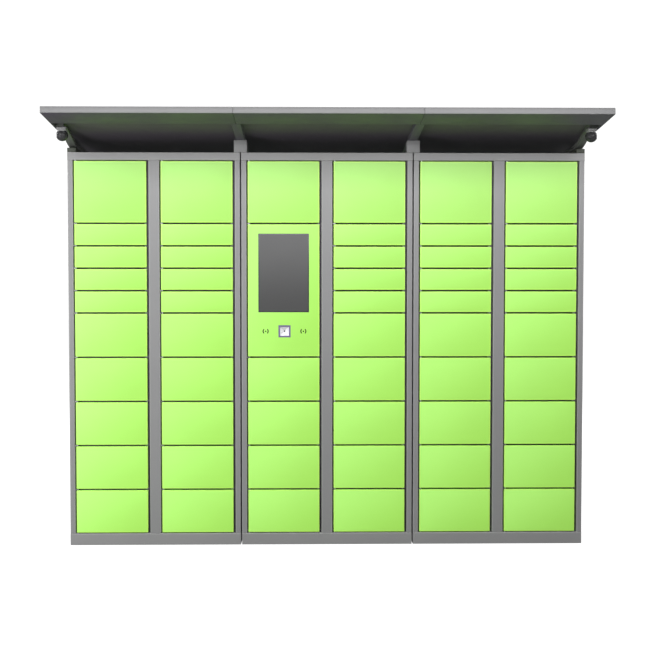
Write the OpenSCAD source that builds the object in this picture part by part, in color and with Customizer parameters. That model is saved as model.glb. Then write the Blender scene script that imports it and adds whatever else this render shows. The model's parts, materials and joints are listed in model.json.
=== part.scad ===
// Outdoor parcel locker: three cabinet modules with two columns of doors each,
// a terminal in the middle module and a sloping canopy over the whole front.
// Origin: centre of the cabinets' footprint, on the floor. +Z up, doors face -Y.

/* [Columns] */
// Clear width of a column between its two posts
column_w = 380; // [320:1:460]
// Face width of the post at each outer edge of a module
post_w = 27; // [20:0.5:40]
// Face width of the mullion between the two columns of a module
mullion_w = 56; // [50:0.5:90]
// Dark gap left between two neighbouring modules
module_seam = 6; // [4:0.5:12]
// Depth of the cabinets from door face to back panel
cabinet_d = 500; // [400:1:700]
// Depth of the folded posts, rails and plinth fronts
post_d = 25; // [24:0.5:40]

/* [Rows] */
// Height of the row of large compartments
large_row_h = 318.5; // [240:0.5:420]
// Height of a row of small compartments
small_row_h = 113.5; // [90:0.5:150]
// Height of a row of medium compartments
medium_row_h = 225.5; // [170:0.5:300]
// Height of the rail above the doors
top_rail_h = 40; // [30:0.5:80]
// Height of the plinth under the doors
plinth_h = 60; // [40:0.5:120]

/* [Sheet metal] */
// Thickness of the posts, rails and plinth fronts
frame_sheet = 2; // [1.5:0.1:3]
// Thickness of side, back and top panels, column walls and shelves
panel_sheet = 1.5; // [1:0.1:2.5]
// Height of the folded lip on the front edge of a shelf
shelf_lip_h = 8; // [6:0.5:9]

/* [Doors] */
// Gap between a door and the post on its hinge side
hinge_side_gap = 6; // [5:0.5:9]
// Gap between a door and the post on its lock side
lock_side_gap = 10.5; // [6:0.5:14]
// Gap between two doors, one above the other
row_gap = 8.5; // [6:0.5:12]
// Thickness of the door sheet
door_sheet = 1.5; // [1:0.1:2]
// Depth of the folded edge all round a door
door_fold = 20; // [16:0.5:22]

/* [Hinges] */
// Radius of the rod that the doors of a column turn on
rod_r = 3; // [2:0.1:4]
// Radial running clearance of the rod in the doors and brackets
rod_clearance = 0.05; // [0.02:0.01:0.1]
// Distance of the rod's axis from the hinge edge of a door
rod_inset = 6; // [5:0.5:8]
// Distance of the rod's axis behind the door face
rod_depth = 8; // [6:0.5:10]
// Thickness of a hinge bracket
bracket_t = 3; // [2:0.5:5]

/* [Locks] */
// Width of a lock body, across the opening
lock_w = 22; // [18:0.5:30]
// Depth of a lock body, front to back
lock_d = 50; // [40:1:70]
// Height of a lock body
lock_h = 46; // [36:1:60]
// Radius of a lock bolt
bolt_r = 4; // [3:0.1:6]
// Travel of a lock bolt from released to locked
bolt_travel = 9; // [8:0.5:12]
// Thickness of the keeper plate on a door
keeper_t = 3; // [2:0.5:4]
// Gap between a keeper plate and the lock body
keeper_gap = 3; // [2.5:0.1:4]

/* [Canopy] */
// Reach of the canopy in front of the doors
canopy_reach = 500; // [350:1:650]
// Slope of the canopy, rising towards its front edge
canopy_pitch = 5.4; // [3:0.1:8]
// Thickness of the canopy
canopy_t = 30; // [24:0.5:45]
// Height of the canopy's underside above the cabinets, over the door faces
canopy_rise = 62; // [55:0.5:90]
// Width of the front beam under the canopy
front_beam_w = 188; // [100:1:240]
// Width of an inner canopy arm
arm_w = 44; // [30:0.5:60]
// Width of the cranked arm at each end
end_arm_w = 40; // [30:0.5:60]
// Thickness of the cranked arm at each end
end_arm_t = 22; // [14:0.5:24]
// Width and depth of the blocks that carry the canopy arms
block_w = 66; // [50:0.5:90]

/* [Terminal] */
// Width of the screen opening
screen_w = 257; // [200:1:290]
// Height of the screen opening
screen_h = 399; // [300:1:420]
// Distance from the top of the service door to the screen opening
screen_top = 47; // [30:1:80]
// Side of the square scanner
scanner_w = 62; // [50:0.5:76]
// Distance from the top of the service door to the scanner's centre
scanner_drop = 543; // [500:1:590]
// Sideways distance from the scanner's centre to each sound opening
sound_offset = 96; // [70:1:130]

/* [Cameras] */
// Radius of a camera ball
ball_r = 29; // [24:0.5:36]
// Distance of a camera behind the rear edge of the front beam
camera_back = 92; // [40:1:150]
// Distance of a camera's axis from the end of the canopy
camera_inset = 33; // [26:0.5:50]

/* [Fixing] */
// Radius of a floor anchor hole
anchor_r = 7; // [5:0.5:9]
// Distance of an anchor hole from the side of its module
anchor_side = 80; // [50:1:140]
// Distance of an anchor hole from the front and the back of the cabinets
anchor_inset = 45; // [40:1:60]
// Radius of the bore through the cable gland
gland_bore_r = 6.5; // [4:0.1:9]

/* [Hidden] */
$fn = 48;

// Rows are numbered 1 to 10 from the top down: one large, four small, five medium.
row_count = 10;
large_rows = [1];
small_rows = [2, 3, 4, 5];
medium_rows = [6, 7, 8, 9, 10];
// The terminal takes the place of four small and one medium door in column 3.
service_column = 3;
service_rows = [2, 6];
column_3_rows = [1, 7, 8, 9, 10];
columns = [1, 2, 3, 4, 5, 6];
modules = [0, 1, 2];

module_pitch = module_seam + 2 * post_w + 2 * column_w + mullion_w;
module_w = module_pitch - module_seam;
half_width = 1.5 * module_pitch;
front_y = -cabinet_d / 2;
back_y = cabinet_d / 2;
door_w = column_w - hinge_side_gap - lock_side_gap;
rows_h = large_row_h + len(small_rows) * small_row_h + len(medium_rows) * medium_row_h;
rows_top = plinth_h + rows_h;
cabinet_h = rows_top + top_rail_h;

function row_h(r) = r < small_rows[0] ? large_row_h
  : (r < medium_rows[0] ? small_row_h : medium_row_h);
function rows_above(r) = r == 1 ? 0 : row_h(r - 1) + rows_above(r - 1);
function row_top(r) = rows_top - rows_above(r);
function row_bottom(r) = row_top(r) - row_h(r);
function module_x(m) = (m - 1.5) * module_pitch + module_seam / 2;
function column_x(c) = module_x(floor((c - 1) / 2)) + post_w
  + ((c - 1) % 2) * (column_w + mullion_w);
function door_x(c) = column_x(c) + hinge_side_gap;
function rod_x(c) = door_x(c) + rod_inset;
function rows_in(c) = c == service_column ? column_3_rows : [for (r = [1:row_count]) r];
// Rows of a column that have a shelf edge and a hinge bracket below them.
function shelf_rows(c) = [for (r = [1:row_count - 1])
  if (c != service_column || r < service_rows[0] || r >= service_rows[1]) r];

rod_y = front_y + rod_depth;
shelf_y = front_y + post_d;
shelf_d = cabinet_d - post_d - panel_sheet;
eps = 1;
seat_gap = 0.2;

// ---------------------------------------------------------------- cabinet shell

base_bar_w = 60;
base_sheet = 3;
bar_y = [front_y + post_d, back_y - base_bar_w];

// Channel with its open side turned towards +Y, or towards -Y when turned.
module base_channel(l, turned) {
  open_y = turned ? -eps : base_sheet;
  difference() {
    cube([l, base_bar_w, plinth_h]);
    translate([-eps, open_y, base_sheet])
      cube([l + 2 * eps, base_bar_w - base_sheet + eps, plinth_h - 2 * base_sheet]);
    for (x = [anchor_side, l - anchor_side])
      translate([x, turned ? base_bar_w - anchor_inset : anchor_inset - post_d, -eps])
        cylinder(r = anchor_r, h = base_sheet + 2 * eps);
  }
}

module base_frames() {
  side_l = bar_y[1] - bar_y[0] - base_bar_w - 2 * seat_gap;
  color("dimgray") for (m = modules) {
    translate([module_x(m), bar_y[0], 0]) base_channel(module_w, false);
    translate([module_x(m), bar_y[1], 0]) base_channel(module_w, true);
    for (x = [0, module_w - base_sheet])
      translate([module_x(m) + x, bar_y[0] + base_bar_w + seat_gap, 0])
        cube([base_sheet, side_l, plinth_h]);
  }
}

// Folded front channel, open at the back, with a rod bore in one flange.
module front_channel(l, h, bore_z, xs) {
  difference() {
    cube([l, post_d, h]);
    translate([-eps, frame_sheet, frame_sheet])
      cube([l + 2 * eps, post_d, h - 2 * frame_sheet]);
    for (x = xs)
      translate([x, rod_depth, bore_z - eps])
        cylinder(r = rod_r + rod_clearance, h = frame_sheet + 2 * eps);
  }
}

function rods_in_module(m) = [for (i = [1, 2]) rod_x(2 * m + i) - module_x(m)];

module plinth_fronts() {
  color("gray") for (m = modules)
    translate([module_x(m), front_y, 0])
      front_channel(module_w, plinth_h, plinth_h - frame_sheet, rods_in_module(m));
}

module top_rails() {
  color("gray") for (m = modules)
    translate([module_x(m), front_y, rows_top])
      front_channel(module_w, top_rail_h, 0, rods_in_module(m));
}

// Folded post, open at the back.
module front_post(w) {
  difference() {
    cube([w, post_d, rows_h]);
    translate([frame_sheet, frame_sheet, -eps])
      cube([w - 2 * frame_sheet, post_d, rows_h + 2 * eps]);
  }
}

module front_posts() {
  color("gray") for (m = modules)
    for (p = [[0, post_w], [post_w + column_w, mullion_w], [module_w - post_w, post_w]])
      translate([module_x(m) + p[0], front_y, plinth_h]) front_post(p[1]);
}

join_r = 4;
join_clearance = 0.3;
join_head_r = 7;
join_head_t = 5;
join_inset = 60;
join_rise = 240;
join_drop = 260;
join_z = [plinth_h + join_rise, rows_top - join_drop];

// Places of the bolts that join a module to its neighbour.
module at_joins() {
  for (y = [shelf_y + join_inset, back_y - join_inset])
    for (z = join_z)
      translate([0, y, z]) rotate([0, 90, 0]) children();
}

module side_panels() {
  color("gray") for (m = modules)
    for (side = [0, 1]) {
      x = module_x(m) + side * (module_w - panel_sheet);
      joined = (side == 0 && m > 0) || (side == 1 && m < 2);
      difference() {
        translate([x, shelf_y, plinth_h])
          cube([panel_sheet, cabinet_d - post_d, cabinet_h - plinth_h - panel_sheet]);
        if (joined)
          translate([x - eps, 0, 0]) at_joins()
            cylinder(r = join_r + join_clearance, h = panel_sheet + 2 * eps);
      }
    }
}

module joining_bolts() {
  grip = module_seam + 2 * panel_sheet;
  color("silver") for (m = [1, 2])
    translate([module_x(m) - module_seam / 2, 0, 0]) at_joins() {
      translate([0, 0, -grip / 2]) cylinder(r = join_r, h = grip);
      for (s = [-1, 1])
        translate([0, 0, s * (grip + join_head_t) / 2])
          cylinder(r = join_head_r, h = join_head_t, center = true);
    }
}

gland_r = 9;
gland_offset = 60;
gland_z = row_bottom(service_rows[1]) + gland_offset;
gland_x = column_x(service_column) + column_w - gland_offset;

module back_panels() {
  color("gray") difference() {
    for (m = modules)
      translate([module_x(m) + panel_sheet, back_y - panel_sheet, plinth_h])
        cube([module_w - 2 * panel_sheet, panel_sheet, cabinet_h - plinth_h - panel_sheet]);
    translate([gland_x, back_y - panel_sheet - eps, gland_z]) rotate([-90, 0, 0])
      cylinder(r = gland_r + join_clearance, h = panel_sheet + 2 * eps);
  }
}

module top_panels() {
  color("gray") for (m = modules)
    translate([module_x(m), shelf_y, cabinet_h - panel_sheet])
      cube([module_w, cabinet_d - post_d, panel_sheet]);
}

module column_walls() {
  wall_h = rows_h + panel_sheet / 2;
  color("lightgray") for (c = columns)
    for (x = [-panel_sheet, column_w])
      translate([column_x(c) + x, shelf_y, plinth_h])
        cube([panel_sheet, shelf_d, wall_h]);
}

// Shelf with its underside at z, and a lip reaching down and up at its front edge.
module shelf(c, z, lip_down, lip_up) {
  translate([column_x(c), shelf_y, z]) {
    cube([column_w, shelf_d, panel_sheet]);
    translate([0, 0, -lip_down]) cube([column_w, panel_sheet, lip_down + panel_sheet + lip_up]);
  }
}

module shelves() {
  lip = (shelf_lip_h - panel_sheet) / 2;
  color("lightgray") for (c = columns) {
    shelf(c, plinth_h, 0, lip);
    shelf(c, rows_top - panel_sheet / 2, lip, 0);
    for (r = shelf_rows(c)) shelf(c, row_bottom(r) - panel_sheet / 2, lip, lip);
  }
}

// ------------------------------------------------------------- hinges and locks

module hinge_rods() {
  color("silver") for (c = columns)
    translate([rod_x(c), rod_y, plinth_h - frame_sheet])
      cylinder(r = rod_r, h = rows_h + 2 * frame_sheet);
}

// Metal left round the rod's bore in a bracket, and length of the bracket's tail.
bracket_rim = 2;
bracket_tail = 7;

module hinge_brackets() {
  reach = hinge_side_gap + rod_inset + rod_r + bracket_rim;
  color("dimgray") for (c = columns)
    for (r = shelf_rows(c))
      translate([column_x(c), rod_y - rod_r - bracket_rim, row_bottom(r) - bracket_t / 2])
        difference() {
          cube([reach, bracket_rim + 2 * rod_r + bracket_tail, bracket_t]);
          translate([hinge_side_gap + rod_inset, rod_r + bracket_rim, -eps])
            cylinder(r = rod_r + rod_clearance, h = bracket_t + 2 * eps);
        }
}

lock_gap = 3;
lock_wall = 1;
lock_y = front_y + post_d + lock_gap;
bolt_y = lock_y + lock_d / 3;
bolt_l = lock_w - 2 * lock_wall;
bolt_clearance = 0.05;
keeper_play = 0.6;
keeper_hole_r = bolt_r + keeper_play;
keeper_h = 30;
keeper_margin = 10;

function lock_rows(m) = [for (c = [2 * m + 1, 2 * m + 2]) for (r = rows_in(c)) [c, r]];
function lock_z(r) = (row_top(r) + row_bottom(r)) / 2;
service_lock_z = (row_top(service_rows[0]) + row_bottom(service_rows[1])) / 2;
function lock_places(m) = concat(
  [for (cr = lock_rows(m)) [cr[0], lock_z(cr[1])]],
  m == 1 ? [[service_column, service_lock_z]] : []);

module lock_bodies() {
  color("darkslategray") for (m = modules)
    for (p = lock_places(m))
      translate([column_x(p[0]) + column_w - lock_w, 0, p[1]]) difference() {
        translate([0, lock_y, -lock_h / 2]) cube([lock_w, lock_d, lock_h]);
        translate([-eps, bolt_y, 0]) rotate([0, 90, 0])
          cylinder(r = bolt_r + bolt_clearance, h = lock_w - lock_wall + eps);
      }
}

module lock_bolts(m) {
  color("silver") for (p = lock_places(m))
    translate([column_x(p[0]) + column_w - lock_w, bolt_y, p[1]]) rotate([0, 90, 0])
      cylinder(r = bolt_r, h = bolt_l);
}
module lock_bolts_left() { lock_bolts(0); }
module lock_bolts_middle() { lock_bolts(1); }
module lock_bolts_right() { lock_bolts(2); }

// ------------------------------------------------------------------------ doors

// Folded door sheet, open at the back, with rod bores in its top and bottom folds.
module door_tray(h) {
  difference() {
    cube([door_w, door_fold, h]);
    translate([door_sheet, door_sheet, door_sheet])
      cube([door_w - 2 * door_sheet, door_fold, h - 2 * door_sheet]);
    for (z = [-eps, h - door_sheet - eps])
      translate([rod_inset, rod_depth, z])
        cylinder(r = rod_r + rod_clearance, h = door_sheet + 2 * eps);
  }
}

// Keeper plate that stands back from the door into the reach of the lock bolt.
module keeper(z) {
  x = column_w - hinge_side_gap - lock_w - keeper_gap - keeper_t;
  y = door_sheet + seat_gap;
  hole_y = bolt_y - front_y;
  translate([x, 0, z]) difference() {
    translate([0, y, -keeper_h / 2])
      cube([keeper_t, hole_y + keeper_margin - y, keeper_h]);
    translate([-eps, hole_y, 0]) rotate([0, 90, 0])
      cylinder(r = keeper_hole_r, h = keeper_t + 2 * eps);
  }
}

module door(c, r) {
  h = row_h(r) - row_gap;
  color("greenyellow") translate([door_x(c), front_y, row_bottom(r) + row_gap / 2]) {
    door_tray(h);
    keeper(h / 2);
  }
}

module doors(c, rows) { for (r = rows) door(c, r); }

// --------------------------------------------------------------------- terminal

service_h = row_top(service_rows[0]) - row_bottom(service_rows[1]) - row_gap;
service_z = row_bottom(service_rows[1]) + row_gap / 2;
screen_z = service_h - screen_top - screen_h;
screen_x = (door_w - screen_w) / 2;
scanner_shift = 4;
scanner_x = door_w / 2 + scanner_shift;
scanner_z = service_h - scanner_drop;
pane_t = 3;
pane_set_back = 0.5;
pane_clearance = 0.3;
display_margin = 10;
display_d = 32;
scanner_margin = 7;
scanner_d = 34;
window_w = 46;
window_sink = 1;
slot_outer_r = 15.5;
slot_inner_r = 12;
slot_half_h = 11.5;
slot_start = 8;
sound_hole_r = 3;

module at_service_door() { translate([door_x(service_column), front_y, service_z]) children(); }

// Pair of curved slots with a round hole between them, cut through the sheet.
module sound_opening() {
  rotate([-90, 0, 0]) {
    intersection() {
      difference() {
        cylinder(r = slot_outer_r, h = door_sheet + 2 * eps);
        translate([0, 0, -eps]) cylinder(r = slot_inner_r, h = door_sheet + 4 * eps);
      }
      for (s = [-1, 1])
        translate([s > 0 ? slot_start : -slot_start - slot_outer_r, -slot_half_h, -eps])
          cube([slot_outer_r, 2 * slot_half_h, door_sheet + 4 * eps]);
    }
    cylinder(r = sound_hole_r, h = door_sheet + 2 * eps);
  }
}

module service_door() {
  color("greenyellow") at_service_door() {
    difference() {
      door_tray(service_h);
      translate([screen_x, -eps, screen_z]) cube([screen_w, door_sheet + 2 * eps, screen_h]);
      translate([scanner_x - scanner_w / 2, -eps, scanner_z - scanner_w / 2])
        cube([scanner_w, door_sheet + 2 * eps, scanner_w]);
      for (s = [-1, 1])
        translate([scanner_x + s * sound_offset, -eps, scanner_z]) sound_opening();
    }
    keeper(service_h / 2);
  }
}

module display_module() {
  color("black") at_service_door() difference() {
    translate([screen_x - display_margin, door_sheet + seat_gap, screen_z - display_margin])
      cube([screen_w + 2 * display_margin, display_d, screen_h + 2 * display_margin]);
    translate([screen_x, 0, screen_z])
      cube([screen_w, pane_set_back + pane_t, screen_h]);
  }
}

module screen_glass() {
  color("dimgray") at_service_door()
    translate([screen_x + pane_clearance, pane_set_back, screen_z + pane_clearance])
      cube([screen_w - 2 * pane_clearance, pane_t, screen_h - 2 * pane_clearance]);
}

module scanner_body() {
  outer = scanner_w + 2 * scanner_margin;
  face = scanner_w - 2 * pane_clearance;
  color("slategray") at_service_door() translate([scanner_x, 0, scanner_z]) difference() {
    union() {
      translate([-outer / 2, door_sheet + seat_gap, -outer / 2]) cube([outer, scanner_d, outer]);
      translate([-face / 2, pane_set_back, -face / 2]) cube([face, door_sheet + eps, face]);
    }
    translate([-window_w / 2, 0, -window_w / 2])
      cube([window_w, pane_set_back + window_sink + pane_t, window_w]);
  }
}

module scanner_window() {
  w = window_w - 2 * pane_clearance;
  color("white") at_service_door()
    translate([scanner_x - w / 2, pane_set_back + window_sink, scanner_z - w / 2])
      cube([w, pane_t, w]);
}

speaker_r = 20;
speaker_d = 22;
speaker_bore_r = 17;
speaker_bore_d = 5;

module loudspeakers() {
  color("black") at_service_door() for (s = [-1, 1])
    translate([scanner_x + s * sound_offset, door_sheet + seat_gap, scanner_z])
      rotate([-90, 0, 0]) difference() {
        cylinder(r = speaker_r, h = speaker_d);
        translate([0, 0, -eps]) cylinder(r = speaker_bore_r, h = speaker_bore_d + eps);
      }
}

controller_size = [240, 60, 180];
supply_size = [180, 50, 110];
controller_rise = 330;
supply_rise = 160;
controller_side = 40;
controller_z = service_z + controller_rise;
supply_z = service_z + supply_rise;

module controller_box() {
  x = column_x(service_column) + controller_side;
  y = back_y - panel_sheet;
  color("dimgray") {
    translate([x, y - controller_size[1], controller_z]) cube(controller_size);
    translate([x, y - supply_size[1], supply_z]) cube(supply_size);
  }
}

gland_out = 16;
gland_in = 12;
gland_l = panel_sheet + gland_in + gland_out;
gland_nut_r = 13;
gland_nut_t = 6;

module cable_gland() {
  color("black") translate([gland_x, back_y, gland_z]) rotate([-90, 0, 0]) difference() {
    union() {
      translate([0, 0, -panel_sheet - gland_in]) cylinder(r = gland_r, h = gland_l);
      for (z = [0, -panel_sheet - gland_nut_t])
        translate([0, 0, z]) cylinder(r = gland_nut_r, h = gland_nut_t, $fn = 6);
    }
    translate([0, 0, -panel_sheet - gland_in - eps])
      cylinder(r = gland_bore_r, h = gland_l + 2 * eps);
  }
}

// ----------------------------------------------------------------------- canopy

deck_t = 3;
fascia_t = 3;
beam_wall = 3;
rear_beam_w = 60;
rear_overhang = 20;
lip_t = 6;
section_gap = 1;
under_deck = canopy_t - deck_t;
front_s = canopy_reach / cos(canopy_pitch);
back_s = -(cabinet_d + rear_overhang) / cos(canopy_pitch);
beam_back_s = front_s - fascia_t - front_beam_w;
rear_beam_s = -cabinet_d / cos(canopy_pitch);
seam_x = module_pitch / 2;
cut_margin = 100;
cut_h = 300;

// Frame of the sloping canopy: x across, s forwards up the slope, n square to it.
module on_slope() {
  translate([0, front_y, cabinet_h + canopy_rise]) rotate([-canopy_pitch, 0, 0]) children();
}

module slope_box(x0, x1, s0, s1, n0, n1) {
  translate([x0, -s1, n0]) cube([x1 - x0, s1 - s0, n1 - n0]);
}

// Space above the slope at height n, used to cut pieces that meet the canopy.
module above_slope(n) {
  on_slope() slope_box(-2 * half_width, 2 * half_width, back_s - cut_margin,
    front_s + cut_margin, n, n + cut_h);
}

// Height of the canopy at distance d in front of the doors and n above its underside.
function slope_z(d, n) = cabinet_h + canopy_rise + d * tan(canopy_pitch) + n / cos(canopy_pitch);

module canopy_deck() {
  color("lightgray") on_slope()
    slope_box(-half_width, half_width, back_s, front_s - fascia_t, under_deck, canopy_t);
}

module canopy_fascia() {
  color("lightgray") on_slope() for (m = modules)
    slope_box((m - 1.5) * module_pitch + (m > 0 ? section_gap / 2 : 0),
      (m - 0.5) * module_pitch - (m < 2 ? section_gap / 2 : 0),
      front_s - fascia_t, front_s, 0, canopy_t);
}

module canopy_beams() {
  color("darkolivegreen") on_slope() {
    for (m = modules) {
      x0 = (m - 1.5) * module_pitch + (m > 0 ? section_gap / 2 : 0);
      x1 = (m - 0.5) * module_pitch - (m < 2 ? section_gap / 2 : 0);
      difference() {
        slope_box(x0, x1, beam_back_s, front_s - fascia_t, 0, under_deck);
        slope_box(x0 - eps, x1 + eps, beam_back_s + beam_wall, front_s - fascia_t - beam_wall,
          beam_wall, under_deck - beam_wall);
      }
    }
    difference() {
      slope_box(-half_width + lip_t, half_width - lip_t, rear_beam_s, rear_beam_s + rear_beam_w,
        0, under_deck);
      slope_box(-half_width, half_width, rear_beam_s + beam_wall,
        rear_beam_s + rear_beam_w - beam_wall, beam_wall, under_deck - beam_wall);
    }
  }
}

module canopy_arms() {
  color("darkolivegreen") on_slope() {
    for (x = [-seam_x, seam_x])
      slope_box(x - arm_w / 2, x + arm_w / 2, rear_beam_s + rear_beam_w, beam_back_s,
        0, under_deck);
    for (x = [-half_width, half_width - lip_t])
      slope_box(x, x + lip_t, back_s, beam_back_s, 0, under_deck);
  }
}

// The arm ends in front of its camera, and its crank ends behind it.
arm_past_camera = 30;
arm_straight = 50;
camera_reach = canopy_reach - front_beam_w - camera_back;
arm_front = camera_reach + arm_past_camera;
crank_start = -75;
crank_end = arm_front - arm_straight;
arm_rear = -230;
crank_steps = 24;
end_base_h = 22;
arm_n = under_deck - end_arm_t;

function smooth(t) = t * t * (3 - 2 * t);
// Lower edge of the cranked arm: level on its base, then rising in an S to the deck.
function arm_low(d) = d <= crank_start ? cabinet_h + end_base_h
  : d >= crank_end ? slope_z(d, arm_n)
  : cabinet_h + end_base_h + smooth((d - crank_start) / (crank_end - crank_start))
    * (slope_z(crank_end, arm_n) - cabinet_h - end_base_h);
function arm_high(d) = min(arm_low(d) + end_arm_t / cos(canopy_pitch), slope_z(d, under_deck));
crank_ds = [for (i = [0:crank_steps]) crank_start + i * (crank_end - crank_start) / crank_steps];
arm_ds = concat([arm_rear], crank_ds, [arm_front]);

module canopy_end_arms() {
  low = [for (d = arm_ds) [-d, arm_low(d)]];
  high = [for (i = [len(arm_ds) - 1:-1:0]) [-arm_ds[i], arm_high(arm_ds[i])]];
  color("darkolivegreen") for (x = [-half_width + lip_t, half_width - lip_t - end_arm_w])
    translate([x, front_y, 0]) rotate([90, 0, 90])
      linear_extrude(end_arm_w) polygon(concat(low, high));
}

rear_block_d = 50;

module canopy_blocks() {
  block_top = slope_z(canopy_reach, canopy_t);
  color("lightgray") {
    difference() {
      for (x = [-seam_x, seam_x]) {
        translate([x - block_w / 2, front_y, cabinet_h])
          cube([block_w, block_w, block_top - cabinet_h]);
        translate([x - block_w / 2, back_y - rear_block_d, cabinet_h])
          cube([block_w, rear_block_d, block_top - cabinet_h]);
      }
      above_slope(0);
    }
    difference() {
      for (s = [-1, 1])
        translate([s * (half_width - lip_t - block_w / 2) - block_w / 2, back_y - rear_block_d,
          cabinet_h]) cube([block_w, rear_block_d, block_top - cabinet_h]);
      above_slope(0);
    }
    for (x = [-half_width + module_seam / 2, half_width - lip_t - end_arm_w])
      translate([x, front_y, cabinet_h])
        cube([end_arm_w + lip_t - module_seam / 2, -arm_rear, end_base_h]);
  }
}

// ---------------------------------------------------------------------- cameras

socket_w = 45;
socket_h = 15;
ball_drop = 35.5;
ball_clearance = 0.4;
pin_r = 4;
pin_clearance = 0.05;
pin_rise = 5;
lens_tilt = 35;
lens_turn = 35;
lens_flat = 22;
lens_r = 15;
lens_recess = 5;
camera_y = front_y - camera_reach;
arm_under_camera = slope_z(camera_reach - socket_w / 2, arm_n);
ball_z = arm_under_camera - ball_drop;
socket_z = ball_z + socket_h;

module camera_sockets() {
  color("lightgray") for (s = [-1, 1])
    translate([s * (half_width - camera_inset), camera_y, 0]) difference() {
      translate([-socket_w / 2, -socket_w / 2, socket_z])
        cube([socket_w, socket_w, ball_drop + cut_margin - socket_h]);
      translate([-s * (half_width - camera_inset), -camera_y, 0]) above_slope(arm_n);
      translate([0, 0, ball_z]) sphere(r = ball_r + ball_clearance);
      translate([0, 0, ball_z]) cylinder(r = pin_r + pin_clearance, h = 2 * ball_drop);
    }
}

// Ball with its lens seat turned forwards, down and in towards the middle.
module camera_ball(s) {
  color("gray") translate([s * (half_width - camera_inset), camera_y, ball_z]) {
    difference() {
      sphere(r = ball_r);
      rotate([0, 0, -s * lens_turn]) rotate([90 + lens_tilt, 0, 0]) {
        translate([-ball_r, -ball_r, lens_flat]) cube(2 * ball_r);
        translate([0, 0, lens_flat - lens_recess]) cylinder(r = lens_r, h = ball_r);
      }
    }
    cylinder(r = pin_r, h = ball_r + pin_rise);
  }
}
module camera_ball_left() { camera_ball(-1); }
module camera_ball_right() { camera_ball(1); }

base_frames();
plinth_fronts();
side_panels();
column_walls();
back_panels();
top_panels();
shelves();
front_posts();
top_rails();
hinge_rods();
hinge_brackets();
lock_bodies();
lock_bolts_left();
lock_bolts_middle();
lock_bolts_right();
joining_bolts();
canopy_deck();
canopy_fascia();
canopy_beams();
canopy_arms();
canopy_end_arms();
canopy_blocks();
camera_sockets();
camera_ball_left();
camera_ball_right();
display_module();
screen_glass();
scanner_body();
scanner_window();
loudspeakers();
controller_box();
cable_gland();
service_door();
for (r = column_3_rows)
  door(3, r);
for (r = [1:row_count])
  door(4, r);
for (c = [1, 2, 5, 6]) {
  doors(c, large_rows);
  doors(c, small_rows);
  doors(c, medium_rows);
}
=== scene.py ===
# %% [markdown]
# # An outdoor parcel locker, finished cell by cell
# The cabinet, its doors, its canopy and its terminal come from a dimensioned model.
# Here each sheet-metal piece gets the rounded folds, hems and coatings that a real
# one has, and each piece is tied to the body that it moves with.

# %% Open the dimensioned model
import json
import math

import bmesh
import bpy
import numpy as np
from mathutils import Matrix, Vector
from mathutils.geometry import delaunay_2d_cdt


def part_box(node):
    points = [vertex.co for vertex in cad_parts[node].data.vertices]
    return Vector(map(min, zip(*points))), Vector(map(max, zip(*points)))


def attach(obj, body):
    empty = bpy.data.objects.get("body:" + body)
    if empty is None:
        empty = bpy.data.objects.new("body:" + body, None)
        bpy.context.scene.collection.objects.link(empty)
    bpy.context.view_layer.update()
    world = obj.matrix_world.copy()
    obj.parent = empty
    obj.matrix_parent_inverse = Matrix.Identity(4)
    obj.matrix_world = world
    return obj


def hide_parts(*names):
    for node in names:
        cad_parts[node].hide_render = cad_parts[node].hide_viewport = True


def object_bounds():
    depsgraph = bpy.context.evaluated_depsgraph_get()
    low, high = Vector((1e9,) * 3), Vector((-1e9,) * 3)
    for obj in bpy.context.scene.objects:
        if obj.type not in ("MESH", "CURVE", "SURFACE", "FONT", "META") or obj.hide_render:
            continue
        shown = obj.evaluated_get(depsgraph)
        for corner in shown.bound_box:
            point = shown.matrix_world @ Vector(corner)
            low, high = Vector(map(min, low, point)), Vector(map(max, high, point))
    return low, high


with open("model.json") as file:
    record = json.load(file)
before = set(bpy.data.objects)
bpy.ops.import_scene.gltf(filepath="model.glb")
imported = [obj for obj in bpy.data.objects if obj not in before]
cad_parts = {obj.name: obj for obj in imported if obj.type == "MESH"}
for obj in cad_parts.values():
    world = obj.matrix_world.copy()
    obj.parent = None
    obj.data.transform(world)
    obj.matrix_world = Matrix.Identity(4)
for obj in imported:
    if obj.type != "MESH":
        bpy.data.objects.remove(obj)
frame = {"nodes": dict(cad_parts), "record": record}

cad_low, cad_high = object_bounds()
MM = 0.001
TOUCH = 1e-6
print("model box", [round(v, 3) for v in cad_low], [round(v, 3) for v in cad_high])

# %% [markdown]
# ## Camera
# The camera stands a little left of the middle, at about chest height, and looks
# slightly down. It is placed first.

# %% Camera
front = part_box("front_posts")[0].y
camera_data = bpy.data.cameras.new("camera")
camera_data.lens = 55.385
camera_data.sensor_width = 36
camera = bpy.data.objects.new("camera", camera_data)
camera.location = (-0.090, front - 5.090, 1.304)
camera.rotation_euler = (math.pi / 2 - 0.0349, 0, -0.0157)
bpy.context.scene.collection.objects.link(camera)
bpy.context.scene.camera = camera
print("camera at", tuple(round(v, 3) for v in camera.location))

# %% [markdown]
# ## Studio
# A pale floor and soft light show painted steel well. A wide panel above and in front
# is the key, a small one low on the left fills, and three more behind and beside the
# locker light its roof and its ends. The sky gives an even fill, and it is plain white
# where the camera looks straight at it.


# %% Studio floor, sky and lamps
def add_node(tree, kind, **values):
    """New shader node; values set its sockets by name, or its own settings."""
    node = tree.nodes.new(kind)
    for key, value in values.items():
        if key in node.inputs:
            node.inputs[key].default_value = value
        else:
            setattr(node, key, value)
    return node


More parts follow.
